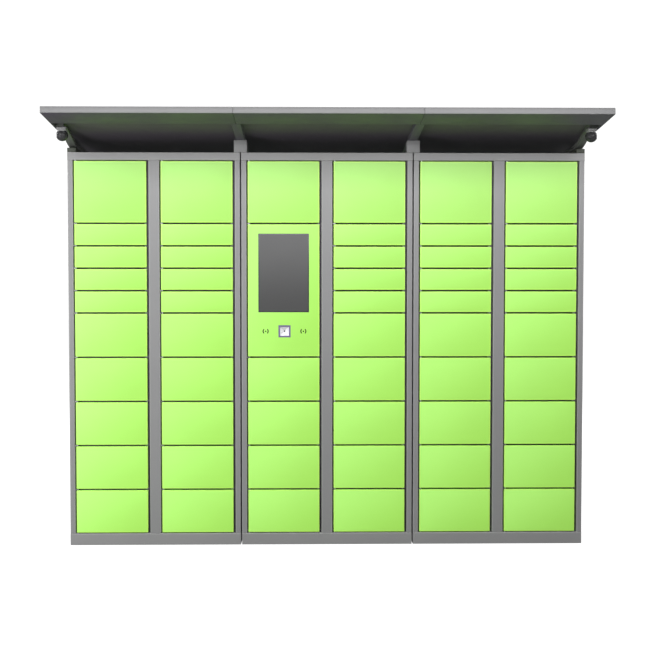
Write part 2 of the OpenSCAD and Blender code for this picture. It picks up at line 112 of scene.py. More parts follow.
def lit_or_seen(tree, lit, seen, output):
    """Joins two shaders: lit answers every ray that carries light to the locker, and
    seen answers the rays that come straight from the camera."""
    path, mix = add_node(tree, "ShaderNodeLightPath"), add_node(tree, "ShaderNodeMixShader")
    tree.links.new(path.outputs["Is Camera Ray"], mix.inputs[0])
    tree.links.new(lit.outputs[0], mix.inputs[1])
    tree.links.new(seen.outputs[0], mix.inputs[2])
    tree.links.new(mix.outputs[0], add_node(tree, output).inputs[0])


def sky(fill, white):
    """World whose light is an even fill, and which looks plain white behind the object."""
    world = bpy.data.worlds.new("studio")
    bpy.context.scene.world = world
    world.use_nodes = True
    tree = world.node_tree
    tree.nodes.clear()
    lit = add_node(tree, "ShaderNodeBackground", Color=(1, 1, 1, 1), Strength=fill)
    seen = add_node(tree, "ShaderNodeBackground", Color=(1, 1, 1, 1), Strength=white)
    lit_or_seen(tree, lit, seen, "ShaderNodeOutputWorld")


def soft_lamp(name, place, aim, size, watts):
    """Lamp panel of the given width and height at place, turned to face aim."""
    data = bpy.data.lights.new(name, "AREA")
    data.shape, data.energy = "RECTANGLE", watts
    data.size, data.size_y = size
    lamp = bpy.data.objects.new(name, data)
    lamp.location = place
    away = Vector([p - a for p, a in zip(place, aim)])
    lamp.rotation_euler = away.to_track_quat("Z", "Y").to_euler()
    bpy.context.scene.collection.objects.link(lamp)


def floor_sheet(size):
    """Flat square floor with a pale matt surface. What the camera sees of it is as
    bright as the sky, and what lights the locker from below is a soft grey."""
    mesh = bpy.data.meshes.new("studio_floor")
    corners = [(-size, -size, 0), (size, -size, 0), (size, size, 0), (-size, size, 0)]
    mesh.from_pydata(corners, [], [(0, 1, 2, 3)])
    floor = bpy.data.objects.new("studio_floor", mesh)
    bpy.context.scene.collection.objects.link(floor)
    paint = bpy.data.materials.new("studio_floor")
    paint.use_nodes = True
    tree = paint.node_tree
    tree.nodes.clear()
    grey = (FLOOR_GREY, FLOOR_GREY, FLOOR_GREY, 1)
    lit, shaded = (add_node(tree, "ShaderNodeBsdfDiffuse", Color=grey) for _ in range(2))
    glow = add_node(tree, "ShaderNodeEmission", Strength=FLOOR_GLOW)
    seen = add_node(tree, "ShaderNodeAddShader")
    tree.links.new(shaded.outputs[0], seen.inputs[0])
    tree.links.new(glow.outputs[0], seen.inputs[1])
    lit_or_seen(tree, lit, seen, "ShaderNodeOutputMaterial")
    mesh.materials.append(paint)


FLOOR_GREY, FLOOR_GLOW = 0.25, 0.96
sky(fill=0.33, white=1.1)
floor_sheet(size=40)
soft_lamp("over_panel", (0.0, front - 1.75, 2.4), (0.0, 0.0, 1.2), (5.0, 0.8), 74)
soft_lamp("rear_panel", (0.0, 5.5, 3.2), (0.0, 0.3, 1.0), (6.0, 2.0), 230)
soft_lamp("right_panel", (5.0, 2.2, 2.6), (1.3, 0.6, 1.0), (2.0, 2.0), 160)
soft_lamp("left_side_panel", (-5.0, 2.2, 2.6), (-1.3, 0.6, 1.0), (2.0, 2.0), 160)
soft_lamp("left_panel", (-3.0, front - 2.25, 0.8), (-0.6, 0.0, 1.2), (1.5, 1.5), 46)
bpy.context.scene.view_settings.view_transform = "Standard"

# %% [markdown]
# ## Coatings
# Powder coat is a thin baked skin with a fine orange-peel grain and a slow random drift
# of tone. Every fold has a slightly paler line, partly where the coat runs thin and
# partly a painted highlight. Some coats also carry painted light: a painted sheen across
# each sheet, a ramp of painted light and shade over the locker, or a faint painted glow.
# One function builds them all, from a colour, a gloss and the size of the grain. Patterns
# read Object coordinates, which are real metres here, so the grain has one scale on
# every piece.


# %% Coating helpers
def grain(tree, place, scale, depth, strength):
    """Bump from fine noise: scale in cells a metre, depth in metres."""
    noise = add_node(tree, "ShaderNodeTexNoise", Scale=scale, Detail=2.0, Roughness=0.5)
    tree.links.new(place, noise.inputs["Vector"])
    bump = add_node(tree, "ShaderNodeBump", Strength=strength, Distance=depth)
    tree.links.new(noise.outputs["Fac"], bump.inputs["Height"])
    return bump.outputs["Normal"]


def map_range(tree, value, old, new, **settings):
    """Value moved from the old range to the new one, and held at its ends."""
    spread = add_node(tree, "ShaderNodeMapRange", **settings)
    for key, number in zip(("From Min", "From Max", "To Min", "To Max"), old + new):
        spread.inputs[key].default_value = number
    tree.links.new(value, spread.inputs["Value"])
    return spread.outputs["Result"]


def drift(tree, place, scale, low, high):
    """Slow noise spread between two values."""
    noise = add_node(tree, "ShaderNodeTexNoise", Scale=scale, Detail=3.0)
    tree.links.new(place, noise.inputs["Vector"])
    return map_range(tree, noise.outputs["Fac"], (0.3, 0.7), (low, high))


def mix_colour(tree, factor, a, b):
    """Colour a where factor is 0 and b where it is 1; each may be a socket or a value."""
    mix = add_node(tree, "ShaderNodeMix", data_type="RGBA")
    for socket, value in ((mix.inputs["Factor"], factor), (mix.inputs[6], a), (mix.inputs[7], b)):
        if isinstance(value, bpy.types.NodeSocket):
            tree.links.new(value, socket)
        else:
            socket.default_value = value
    return mix.outputs[2]


def shade(colour, k):
    """The colour with its brightness times k, as four numbers."""
    return tuple(min(1.0, c * k) for c in colour[:3]) + (1.0,)


def painted_sheen_ramp(tree, down):
    """0 to 1 over the sheet that a piece was cut from: x - y, which grows from its
    upper left to its lower right corner, or 0.5 - y, which grows from top to foot.
    It spreads a painted sheen from its lit end at 0 to its shaded end at 1."""
    uv = add_node(tree, "ShaderNodeUVMap", uv_map="sheet").outputs["UV"]
    parts = add_node(tree, "ShaderNodeSeparateXYZ")
    tree.links.new(uv, parts.inputs[0])
    fall = add_node(tree, "ShaderNodeMath", operation="SUBTRACT")
    if down:
        fall.inputs[0].default_value = 0.5
    else:
        tree.links.new(parts.outputs["X"], fall.inputs[0])
    tree.links.new(parts.outputs["Y"], fall.inputs[1])
    half = 0.5 if down else 1.0
    return map_range(tree, fall.outputs[0], (-half, half), (0.0, 1.0),
                     interpolation_type="SMOOTHSTEP")


def painted_light_ramp(tree, place, skin, light_and_shade):
    """Painted light and shade: the colour times a brightness that runs from the first of two
    factors, high on the locker's left, to the second, low on its right, along a line that
    leans a little to the left."""
    spots = add_node(tree, "ShaderNodeVectorMath", operation="DOT_PRODUCT")
    spots.inputs[1].default_value = (-0.12, 0.0, 1.0)
    tree.links.new(place, spots.inputs[0])
    fade = map_range(tree, spots.outputs["Value"], (0.1, 1.9), (light_and_shade[1], light_and_shade[0]))
    scaled = add_node(tree, "ShaderNodeVectorMath", operation="SCALE")
    tree.links.new(skin, scaled.inputs[0])
    tree.links.new(fade, scaled.inputs["Scale"])
    return scaled.outputs[0]


def fold_wear_and_highlight(tree, skin, edge, wear_and_highlight):
    """Colour mixed on the folds, by the share edge, with a paler one: part wear, part painted highlight.
    """
    fold = add_node(tree, "ShaderNodeAttribute", attribute_name="fold").outputs["Fac"]
    part = add_node(tree, "ShaderNodeMath", operation="MULTIPLY")
    tree.links.new(fold, part.inputs[0])
    part.inputs[1].default_value = edge
    return mix_colour(tree, part.outputs[0], skin, wear_and_highlight + (1.0,))


def coating(name, colour, roughness=0.45, metallic=0.0, grain_scale=700.0, grain_depth=0.00008,
            grain_strength=0.35, vary=0.03, edge=0.0, wear_and_highlight=(0.75, 0.76, 0.74), slope=None,
            down=False, light_and_shade=None, **sockets):
    """Paint, plate or plastic: slow random drift of tone, fine grain and, where edge is set,
    paler folds that are partly wear and partly a painted highlight. Where slope is given as
    two colours, a painted sheen fades over the piece's own sheet from the first colour to
    the second. Two brightness factors, where given, paint light and shade in a ramp over
    the whole locker. Other sockets of the shader are named with an underscore for each space."""
    made = bpy.data.materials.new(name)
    made.use_nodes = True
    tree = made.node_tree
    shader = tree.nodes["Principled BSDF"]
    place = add_node(tree, "ShaderNodeTexCoord").outputs["Object"]
    tones = [shade(colour, k) for k in (1 - vary, 1 + vary)]
    # painted sheen: the colour runs from the lit first colour to the shaded second one across each sheet
    if slope:
        across = painted_sheen_ramp(tree, down)
        tones = [mix_colour(tree, across, shade(slope[0], k), shade(slope[1], k))
                 for k in (1 - vary, 1 + vary)]
    skin = mix_colour(tree, drift(tree, place, 3.0, 0.0, 1.0), *tones)
    # painted light and shade: brighter or darker by place on the locker
    if light_and_shade:
        skin = painted_light_ramp(tree, place, skin, light_and_shade)
    # paler folds: partly wear where the coat runs thin, partly a painted highlight
    if edge:
        skin = fold_wear_and_highlight(tree, skin, edge, wear_and_highlight)
    tree.links.new(skin, shader.inputs["Base Color"])
    tree.links.new(drift(tree, place, 9.0, roughness * 0.95, roughness * 1.05),
                   shader.inputs["Roughness"])
    tree.links.new(grain(tree, place, grain_scale, grain_depth, grain_strength),
                   shader.inputs["Normal"])
    shader.inputs["Metallic"].default_value = metallic
    for key, value in sockets.items():
        shader.inputs[key.replace("_", " ")].default_value = value
    return made


# %% Coatings of this locker
# The two door greens are a painted sheen, lit at each door's upper left and shaded at its lower right.
GREEN_LIT_SHEEN, GREEN_SHADED = (0.46, 0.92, 0.19), (0.36, 0.735, 0.107)
# The last two factors of the frame, rail and door coats paint light and shade over the locker.
frame_paint = coating("frame_grey_coat", (0.235, 0.234, 0.238), 0.42, edge=0.08, light_and_shade=(0.98, 1.1))
rail_paint = coating("rail_grey_coat", (0.257, 0.256, 0.26), 0.42, edge=0.08, light_and_shade=(0.98, 1.1))
# The bright pale green on the door folds is a painted highlight.
door_paint = coating("door_green_coat", GREEN_LIT_SHEEN, 0.40, vary=0.02, edge=0.5,
                     wear_and_highlight=(0.62, 1.0, 0.16),
                     slope=(GREEN_LIT_SHEEN, GREEN_SHADED), light_and_shade=(0.86, 1.29))
roof_paint = coating("roof_light_grey_coat", (0.137, 0.137, 0.14), 0.45)
# The canopy coat and the roof lining carry a faint painted glow, though neither is a lamp.
band_paint = coating("canopy_coat_painted_green_glow", (0.047, 0.027, 0.063), 0.55,
                     Emission_Color=(0.72, 1.0, 0.68, 1.0), Emission_Strength=0.02)
foot_paint = coating("arm_foot_coat", (0.042, 0.049, 0.036), 0.55)
lining_paint = coating("roof_lining_coat", (0.084, 0.069, 0.089), 0.65,
                       Emission_Color=(0.9, 1.0, 0.95, 1.0), Emission_Strength=0.006)
zinc = coating("zinc_sheet", (0.5, 0.51, 0.52), 0.42, 0.45, 60.0, 0.00004, 0.15, 0.1)
bright_zinc = coating("bright_zinc", (0.6, 0.6, 0.61), 0.28, 1.0, 200.0, 0.00003, 0.15, 0.06)
black_plastic = coating("black_plastic", (0.022, 0.022, 0.024), 0.5, 0.0, 1500.0)
shell_grey = coating("camera_shell", (0.07, 0.07, 0.074), 0.38, 0.0, 1200.0, 0.00003, 0.2,
                     Specular_IOR_Level=0.15)
controller_paint = coating("controller_coat", (0.2, 0.21, 0.22), 0.5)
arm_paint = coating("end_arm_coat", (0.108, 0.112, 0.104), 0.5)
border_paint = coating("screen_border", (0.045, 0.03, 0.06), 0.3, 0.0, 900.0, 0.00001, 0.05)
# The screen picture carries a painted reflection, lighter at the top and darker at the foot.
screen_paint = coating("screen_picture", (0.1, 0.1, 0.1), 0.6, 0.0, 900.0, 0.00001, 0.02, 0.01,
                       slope=((0.102, 0.102, 0.104), (0.05, 0.05, 0.051)), down=True)
bezel_paint = coating("scanner_bezel", (0.17, 0.135, 0.27), 0.4)
seal_rubber = coating("door_seal_rubber", (0.13, 0.105, 0.15), 0.7, 0.0, 400.0)
funnel_paint = coating("scanner_funnel", (0.8, 0.8, 0.82), 0.35)
lens_glass = coating("lens_glass", (0.04, 0.04, 0.043), 0.27, 0.0, 900.0, 0.00001, 0.02,
                     Specular_IOR_Level=0.18)
print(len(bpy.data.materials), "coatings")

# %% [markdown]
# ## Meshes from arrays
# Every new piece is a surface worked out with numpy: points on a grid, written into
# a mesh in one go. Each piece also carries a `fold` value on its points, which is 1
# on a bend and 0 on the flat, and may carry a `sheet` map that runs from 0 to 1
# across the sheet it was cut from.


# %% Mesh helpers
def finish_piece(name, part, paint, body, stands_for=(), fold=None, sheet=None,
                 smooth_angle=35.0):
    """The points and faces of a part as one piece, painted, placed and tied to its body."""
    points, faces = part[:2]
    mesh = bpy.data.meshes.new(name)
    mesh.from_pydata(np.asarray(points, float).tolist(), [], faces)
    if fold is not None:
        mesh.attributes.new("fold", "FLOAT", "POINT").data.foreach_set(
            "value", np.asarray(fold, np.float32))
    if sheet is not None:
        corner = np.zeros(len(mesh.loops), np.int32)
        mesh.loops.foreach_get("vertex_index", corner)
        layer = mesh.uv_layers.new(name="sheet")
        layer.data.foreach_set("uv", np.asarray(sheet, np.float32)[corner].ravel())
    mesh.materials.append(paint)
    mesh.shade_smooth()
    mesh.set_sharp_from_angle(angle=math.radians(smooth_angle))
    piece = bpy.data.objects.new(name, mesh)
    bpy.context.scene.collection.objects.link(piece)
    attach(piece, body)
    if stands_for:
        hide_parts(*stands_for)
    return piece


def ring_faces(rings, count, first=0, closed=True):
    """Quads between neighbouring rings of count points each, as rows of indices."""
    a = np.arange(count if closed else count - 1)
    b = (a + 1) % count
    r = first + count * np.arange(rings - 1)[:, None]
    return np.stack([r + a, r + b, r + count + b, r + count + a], -1).reshape(-1, 4).tolist()


def join_parts(parts):
    """Several (points, faces, fold, sheet) parts as one, with the indices moved on."""
    points, faces, fold, sheet, first = [], [], [], [], 0
    for p, f, o, s in parts:
        points.append(p)
        faces += [[i + first for i in face] for face in f]
        fold.append(o if o is not None else np.zeros(len(p)))
        sheet.append(s if s is not None else np.full((len(p), 2), 0.5))
        first += len(p)
    return np.concatenate(points), faces, np.concatenate(fold), np.concatenate(sheet)


# %% [markdown]
# ## Folded sheet
# Posts, rails and beams are one strip of sheet, bent in a press brake. Its section is
# a line through the middle of the sheet with a round bend at every corner, and the
# outline lies half a sheet to each side of it. Carried straight along its length, the
# outline gives the piece.


# %% Sections of bent sheet
def bent_line(corners, radius, steps):
    """Middle line with every inner corner replaced by an arc of the given radius.
    Returns the points, the unit normals to their left and a value that is 1 on arcs."""
    c = np.asarray(corners, float)
    ahead = np.diff(c, axis=0)
    ahead /= np.linalg.norm(ahead, axis=1, keepdims=True)
    left = np.stack([-ahead[:, 1], ahead[:, 0]], 1)
    turn = np.arctan2(np.cross(ahead[:-1], ahead[1:]), (ahead[:-1] * ahead[1:]).sum(1))
    side = np.sign(turn)[:, None]
    back = radius * np.tan(np.abs(turn) / 2)[:, None]
    centre = c[1:-1] - ahead[:-1] * back + left[:-1] * side * radius
    start = -left[:-1] * side
    a = (np.linspace(0, 1, steps)[None] * turn[:, None])[..., None]
    cos, sin = np.cos(a), np.sin(a)
    spoke = np.concatenate([start[:, None, :1] * cos - start[:, None, 1:] * sin,
                            start[:, None, :1] * sin + start[:, None, 1:] * cos], -1)
    arc = (centre[:, None] + radius * spoke).reshape(-1, 2)
    normal = (-spoke * side[:, None]).reshape(-1, 2)
    shoulder = radius * 1.6
    arc, normal = arc.reshape(-1, steps, 2), normal.reshape(-1, steps, 2)
    before = arc[:, :1] - ahead[:-1, None] * shoulder
    after = arc[:, -1:] + ahead[1:, None] * shoulder
    arc = np.concatenate([before, arc, after], 1).reshape(-1, 2)
    normal = np.concatenate([left[:-1, None], normal, left[1:, None]], 1).reshape(-1, 2)
    bend = np.tile(np.concatenate([[0], np.ones(steps), [0]]), len(c) - 2)
    points = np.concatenate([c[:1], arc, c[-1:]])
    normals = np.concatenate([left[:1], normal, left[-1:]])
    return points, normals, np.concatenate([[0], bend, [0]])


def sheet_outline(corners, thickness, radius, steps=5):
    """Closed outline of a bent strip: the middle line moved half a sheet each way."""
    line, normal, bend = bent_line(corners, radius, steps)
    half = thickness / 2
    outline = np.concatenate([line + normal * half, (line - normal * half)[::-1]])
    return outline, np.concatenate([bend, bend[::-1]])


def carry(outline, bend, low, high, axes, cuts=2):
    """Outline carried straight from low to high. axes names the frame's axes for the
    outline's first and second number and for the length, such as (0, 1, 2)."""
    n = len(outline)
    along = np.linspace(low, high, cuts)
    points = np.zeros((cuts, n, 3))
    points[:, :, axes[0]] = outline[:, 0]
    points[:, :, axes[1]] = outline[:, 1]
    points[:, :, axes[2]] = along[:, None]
    faces = ring_faces(cuts, n)
    faces += [list(range(n))[::-1], list(range(n * (cuts - 1), n * cuts))]
    return points.reshape(-1, 3), faces, np.tile(bend, cuts), None


def outward(points, faces):
    """Faces in the order that makes a closed shape's volume positive, so they point out."""
    p = np.asarray(points)
    fan = [(f[0], f[i], f[i + 1]) for f in faces for i in range(1, len(f) - 1)]
    a, b, c = (p[[t[k] for t in fan]] for k in range(3))
    volume = (a * np.cross(b, c)).sum()
    return faces if volume > 0 else [f[::-1] for f in faces]


def closed_part(part):
    """The same part with its faces turned outwards."""
    points, faces, fold, sheet = part
    return points, outward(points, faces), fold, sheet


SHEET = 2 * MM
BEND = 2.4 * MM
HAIRLINE = 0.15 * MM


# %% [markdown]
# ## Front frame
# The posts, the rails over the doors and the plinth fronts are channels with their
# open side to the back. Their round outer bends catch the light, which draws the pale
# line that runs down both sides of every post. Each piece stops a hair short of its
# neighbour, as butted channels do.


# %% Posts, top rails and plinth fronts
def points_of(node):
    """All corner points of a node of the dimensioned model, as an array."""
    mesh = frame["nodes"][node].data
    co = np.zeros(len(mesh.vertices) * 3)
    mesh.vertices.foreach_get("co", co)
    return co.reshape(-1, 3)


def points_in(node, low, high):
    """The points of a node that lie in the box from low to high."""
    p = points_of(node)
    return p[((p >= low - TOUCH) & (p <= high + TOUCH)).all(1)]


def islands(node):
    """Low and high corners of each separate solid in a node, as an array."""
    mesh, co = frame["nodes"][node].data, points_of(node)
    edges = np.zeros(len(mesh.edges) * 2, np.int64)
    mesh.edges.foreach_get("vertices", edges)
    label = np.unique(np.round(co, 6), axis=0, return_inverse=True)[1].ravel()
    a, b = label[edges[0::2]], label[edges[1::2]]
    group = np.arange(label.max() + 1)
    while True:
        low = np.minimum(group[a], group[b])
        new = group.copy()
        np.minimum.at(new, a, low)
        np.minimum.at(new, b, low)
        new = new[new]
        if (new == group).all():
            break
        group = new
    own = group[label]
    keys = np.unique(own)
    return np.array([[co[own == k].min(0), co[own == k].max(0)] for k in keys])


def channel(low, high, long_axis):
    """Channel open to the back, filling the box from low to high."""
    wide = 0 if long_axis == 2 else 2
    t = SHEET / 2
    corners = [(low[wide] + t, high[1]), (low[wide] + t, low[1] + t),
               (high[wide] - t, low[1] + t), (high[wide] - t, high[1])]
    outline, bend = sheet_outline(corners, SHEET, BEND)
    return closed_part(carry(outline, bend, low[long_axis] + HAIRLINE,
                             high[long_axis] - HAIRLINE, (wide, 1, long_axis)))


for node, long_axis in (("front_posts", 2), ("top_rails", 0), ("plinth_fronts", 0)):
    boxes = islands(node)
    made = join_parts([channel(low, high, long_axis) for low, high in boxes])
    coat = frame_paint if node == "front_posts" else rail_paint
    finish_piece(node + "_folded", made, coat, "cabinet", (node,), fold=made[2])
    print(node, len(boxes), "channels")

# %% [markdown]
# ## Doors
# A door is a shallow tray: a flat face, round folds, four sides and a narrow hem
# turned back inside. It is worked out as a stack of rounded rectangles. Each one has
# an inset from the door's edge and a depth behind its face, and the quads between
# them are the skin of the sheet, outside and inside.


# %% Door tray
def rounded_rectangle(width, height, inset, radius, steps=5):
    """Points round a rectangle whose corners are quarter circles: the centre of each
    arc is one radius in from both sides, and the angle runs a quarter turn."""
    r = max(radius - inset, 0.2 * MM)
    quarter = np.linspace(0, np.pi / 2, steps)
    angle = (np.arange(4)[:, None] * np.pi / 2 + quarter).ravel()
    sx = np.repeat([1, -1, -1, 1], steps)
    sz = np.repeat([1, 1, -1, -1], steps)
    cx = width / 2 + sx * (width / 2 - inset - r)
    cz = height / 2 + sz * (height / 2 - inset - r)
    return np.stack([cx + r * np.cos(angle), cz + r * np.sin(angle)], 1)


DOOR_SHEET = 1.5 * MM
DOOR_FOLD = 20 * MM
DOOR_BEND = 2.2 * MM
DOOR_CORNER = 3.0 * MM
HEM = 12 * MM


def tray_rings():
    """Rings of the tray from the edge of its face, round the outer bend, back along
    the side, round the hem and forward again inside to the edge of the inner face.
    Each row is (inset, depth, 1 on a bend)."""
    bend = np.linspace(0, np.pi / 2, 5)
    outer = np.stack([DOOR_BEND * (1 - np.sin(bend)), DOOR_BEND * (1 - np.cos(bend)),
                      np.ones(5)], 1)
    t = DOOR_SHEET
    rest = [(0, DOOR_FOLD - 1.2 * MM, 0), (0.35 * MM, DOOR_FOLD - 0.3 * MM, 1),
            (1.2 * MM, DOOR_FOLD, 0), (HEM, DOOR_FOLD, 0), (HEM, DOOR_FOLD - t, 0),
            (t + 0.5 * MM, DOOR_FOLD - t, 0), (t, DOOR_FOLD - t - 0.5 * MM, 0),
            (t, t + 0.7 * MM, 0), (t + 0.7 * MM, t, 0), (DOOR_BEND + 5 * MM, t, 0)]
    face = [(DOOR_BEND + 5 * MM, 0, 0), (DOOR_BEND + 2.4 * MM, 0, 0.9)]
    return np.concatenate([face, outer, rest])


def door_tray(low, width, height, fill_face=True):
    """Points, faces, fold and sheet map of one tray with its lower left corner at low."""
    rows = tray_rings()
    rings = [rounded_rectangle(width, height, i, DOOR_CORNER) for i in rows[:, 0]]
    flat = np.stack(rings)
    count = flat.shape[1]
    depth = np.broadcast_to(rows[:, 1, None], flat.shape[:2])
    points = np.stack([flat[..., 0], depth, flat[..., 1]], -1).reshape(-1, 3)
    faces = [f[::-1] for f in ring_faces(len(rows), count)]
    last = count * (len(rows) - 1)
    if fill_face:
        faces += [list(range(count)), list(range(last, last + count))[::-1]]
    fold = np.repeat(rows[:, 2], count)
    sheet = points[:, [0, 2]] / (width, height)
    return points + np.asarray(low), faces, fold, sheet


def hat_bar(low, width, height):
    """Stiffener behind the face: a hat-shaped strip from top to bottom of the door."""
    x = width * 0.5
    d = DOOR_SHEET + 0.1 * MM
    corners = np.array([(-34, 0.6), (-20, 0.6), (-14, 11), (14, 11), (20, 0.6), (34, 0.6)]) * MM
    outline, bend = sheet_outline(corners, 1.0 * MM, 2 * MM, 4)
    outline = outline + (x + low[0], d + low[1])
    return closed_part(carry(outline, bend, low[2] + 4 * MM, low[2] + height - 4 * MM, (0, 1, 2)))


def keeper_plate(low, high):
    """Keeper: a plate with round edges and a round hole for the lock bolt."""
    wide, tall = high[1] - low[1], high[2] - low[2]
    outer = rounded_rectangle(wide, tall, 0, 4 * MM, 6)
    angle = (np.arange(len(outer)) + 0.5) * 2 * np.pi / len(outer)
    hole = np.stack([wide - 10 * MM + 4.6 * MM * np.cos(angle), tall / 2 + 4.6 * MM * np.sin(angle)], 1)
    rings = [(outer, low[0]), (outer, high[0]), (hole, high[0]), (hole, low[0]), (outer, low[0])]
    points = np.concatenate([np.stack([np.full(len(r), x), low[1] + r[:, 0], low[2] + r[:, 1]], 1)
                             for r, x in rings])
    return closed_part((points, ring_faces(5, len(outer)), np.zeros(len(points)), None))


def door_solids(node):
    """Trays and keepers of a door node, told apart by their width."""
    boxes = islands(node)
    wide = boxes[:, 1, 0] - boxes[:, 0, 0] > 0.2
    return boxes[wide], boxes[~wide]


door_nodes = [n for n in frame["nodes"] if "door" in n and n != "service_door"]
for node in door_nodes:
    trays, keepers = door_solids(node)
    made = join_parts([door_tray(low, *(high - low)[[0, 2]]) for low, high in trays])
    finish_piece(node + "_sheet", made, door_paint, node, (node,),
                 fold=made[2], sheet=made[3])
    fittings = [hat_bar(low, *(high - low)[[0, 2]]) for low, high in trays]
    fittings += [keeper_plate(low, high) for low, high in keepers]
    finish_piece(node + "_fittings", join_parts(fittings), zinc, node)
print(len(door_nodes), "door pieces")

# %% [markdown]
# ## Shapes used many times
# A box with round edges stands for cast, moulded and deeply folded parts. A turned
# shape is a profile carried round an axis. A pierced plate is a flat outline with
# holes, filled by a constrained triangulation and given a thickness. Each function
# returns one closed part, so several parts can be joined into one piece.


# %% Rounded box, turned shape and pierced plate
def rounded_box(low, high, radius, steps=3):
    """Box with round edges: each octant of a sphere, pushed out to its own corner."""
    low, high = np.asarray(low, float), np.asarray(high, float)
    half, centre = (high - low) / 2, (high + low) / 2
    r = min(radius, half.min() * 0.98)
    quarter = np.linspace(0, np.pi / 2, steps)
    polar = np.concatenate([quarter, quarter + np.pi / 2])
    round_ = np.concatenate([quarter + k * np.pi / 2 for k in range(4)])
    pz = np.repeat([1, -1], steps)
    sx = np.repeat([1, -1, -1, 1], steps)
    sy = np.repeat([1, 1, -1, -1], steps)
    x = sx * (half[0] - r) + r * np.sin(polar)[:, None] * np.cos(round_)
    y = sy * (half[1] - r) + r * np.sin(polar)[:, None] * np.sin(round_)
    z = (pz * (half[2] - r) + r * np.cos(polar))[:, None] + np.zeros_like(x)
    count = 4 * steps
    points = np.stack([x, y, z], -1).reshape(-1, 3) + centre
    faces = ring_faces(2 * steps, count)
    faces += [list(range(count))[::-1], list(range(count * (2 * steps - 1), count * 2 * steps))]
    return closed_part((points, faces, np.zeros(len(points)), None))


def turned(profile, centre, axis=(0, 0, 1), steps=24, closed=False):
    """Profile of (radius, height) pairs carried round an axis through centre. An end
    at radius 0 closes to one point; closed joins the last pair to the first."""
    profile = np.asarray(profile, float)
    axis = np.asarray(axis, float) / np.linalg.norm(axis)
    side = np.cross(axis, (0.0, 1.0, 0.0) if abs(axis[1]) < 0.9 else (1.0, 0.0, 0.0))
    side /= np.linalg.norm(side)
    other = np.cross(axis, side)
    angle = np.linspace(0, 2 * np.pi, steps, endpoint=False)
    spoke = np.cos(angle)[:, None] * side + np.sin(angle)[:, None] * other
    rows = np.concatenate([profile, profile[:1]]) if closed else profile
    points = rows[:, None, :1] * spoke + rows[:, None, 1:] * axis
    points = points.reshape(-1, 3) + np.asarray(centre)
    faces = ring_faces(len(rows), steps)
    if not closed:
        last = steps * (len(rows) - 1)
        faces += [list(range(steps))[::-1], list(range(last, last + steps))]
    return closed_part(weld((points, faces, np.zeros(len(points)), None)))


def weld(part):
    """Part with points that share a place made into one and flat faces dropped."""
    points, faces, fold, sheet = part
    key, first, back = np.unique(np.round(points / 1e-6).astype(np.int64), axis=0,
                                 return_index=True, return_inverse=True)
    back = back.ravel()
    kept = []
    for face in faces:
        row = [int(back[i]) for i in face]
        row = [v for k, v in enumerate(row) if v != row[k - 1]]
        if len(set(row)) > 2:
            kept.append(row)
    return points[first], kept, fold[first], None if sheet is None else sheet[first]


def loop_rectangle(low, high, radius, steps=4):
    """Rounded rectangle as a loop of points in a plane, from low to high."""
    return rounded_rectangle(high[0] - low[0], high[1] - low[1], 0, radius, steps) + low


def loop_circle(centre, radius, steps=20):
    """Circle as a loop of points in a plane."""
    angle = np.linspace(0, 2 * np.pi, steps, endpoint=False)
    return np.stack([centre[0] + radius * np.cos(angle), centre[1] + radius * np.sin(angle)], 1)


def pierced_plate(outline, holes, start, end, axes=(0, 2, 1), rim_wall=True):
    """Flat plate with holes. The loops are filled by a constrained triangulation at
    start and again at end, and a wall joins the two round every loop."""
    loops = [outline] + list(holes)
    flat = np.concatenate(loops)
    ids, n = [], 0
    for loop in loops:
        ids.append(list(range(n, n + len(loop))))
        n += len(loop)
    corners = [Vector(p) for p in flat]
    signed = [loop if k == 0 else loop[::-1] for k, loop in enumerate(ids)]
    out = delaunay_2d_cdt(corners, [], signed, 2, 1e-9)
    flat = np.array([tuple(v) for v in out[0]])
    middle = [flat[list(t)].mean(0) for t in out[2]]
    cap = [list(t) for t, m in zip(out[2], middle) if not any(inside(m, h) for h in holes)]
    back = {old: new for new, olds in enumerate(out[3]) for old in olds}
    both = np.zeros((2, len(flat), 3))
    both[:, :, axes[0]], both[:, :, axes[1]] = flat[:, 0], flat[:, 1]
    both[0, :, axes[2]], both[1, :, axes[2]] = start, end
    m = len(flat)
    faces = [f for f in cap] + [[i + m for i in f[::-1]] for f in cap]
    for loop in ids if rim_wall else ids[1:]:
        ring = [back[i] for i in loop]
        for a, b in zip(ring, ring[1:] + ring[:1]):
            faces.append([b, a, a + m, b + m])
    return consistent((both.reshape(-1, 3), faces, np.zeros(2 * m), None))


def inside(point, loop):
    """Whether a point lies in a loop, by counting the sides that a ray crosses."""
    x, y = loop[:, 0], loop[:, 1]
    nx, ny = np.roll(x, -1), np.roll(y, -1)
    spans = (y > point[1]) != (ny > point[1])
    cross = x + (point[1] - y) * (nx - x) / np.where(spans, ny - y, 1.0)
    return (np.count_nonzero(spans & (cross > point[0])) % 2) == 1


def consistent(part):
    """Same part with all faces turned the same way round, as one skin."""
    points, faces, fold, sheet = part
    shape = bmesh.new()
    rows = [shape.verts.new(p) for p in points]
    for f in faces:
        shape.faces.new([rows[i] for i in f])
    bmesh.ops.recalc_face_normals(shape, faces=shape.faces)
    shape.verts.index_update()
    faces = [[v.index for v in f.verts] for f in shape.faces]
    shape.free()
    return points, outward(points, faces), fold, sheet


def moved(part, offset):
    """Part shifted by an offset."""
    return (part[0] + np.asarray(offset),) + tuple(part[1:])


def size_of(node):
    """Low and high corners of a node as arrays."""
    low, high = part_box(node)
    return np.array(low), np.array(high)


# %% [markdown]
# ## Canopy
# The canopy is a sheet roof with a folded edge, a dark lining underneath, a wide
# front beam, arms that run back over the cabinets and cranked arms at both ends. All
# of it slopes, so each piece is drawn in a level frame of its own and then turned:
# x runs across, y runs forwards up the slope and z stands square to the roof.

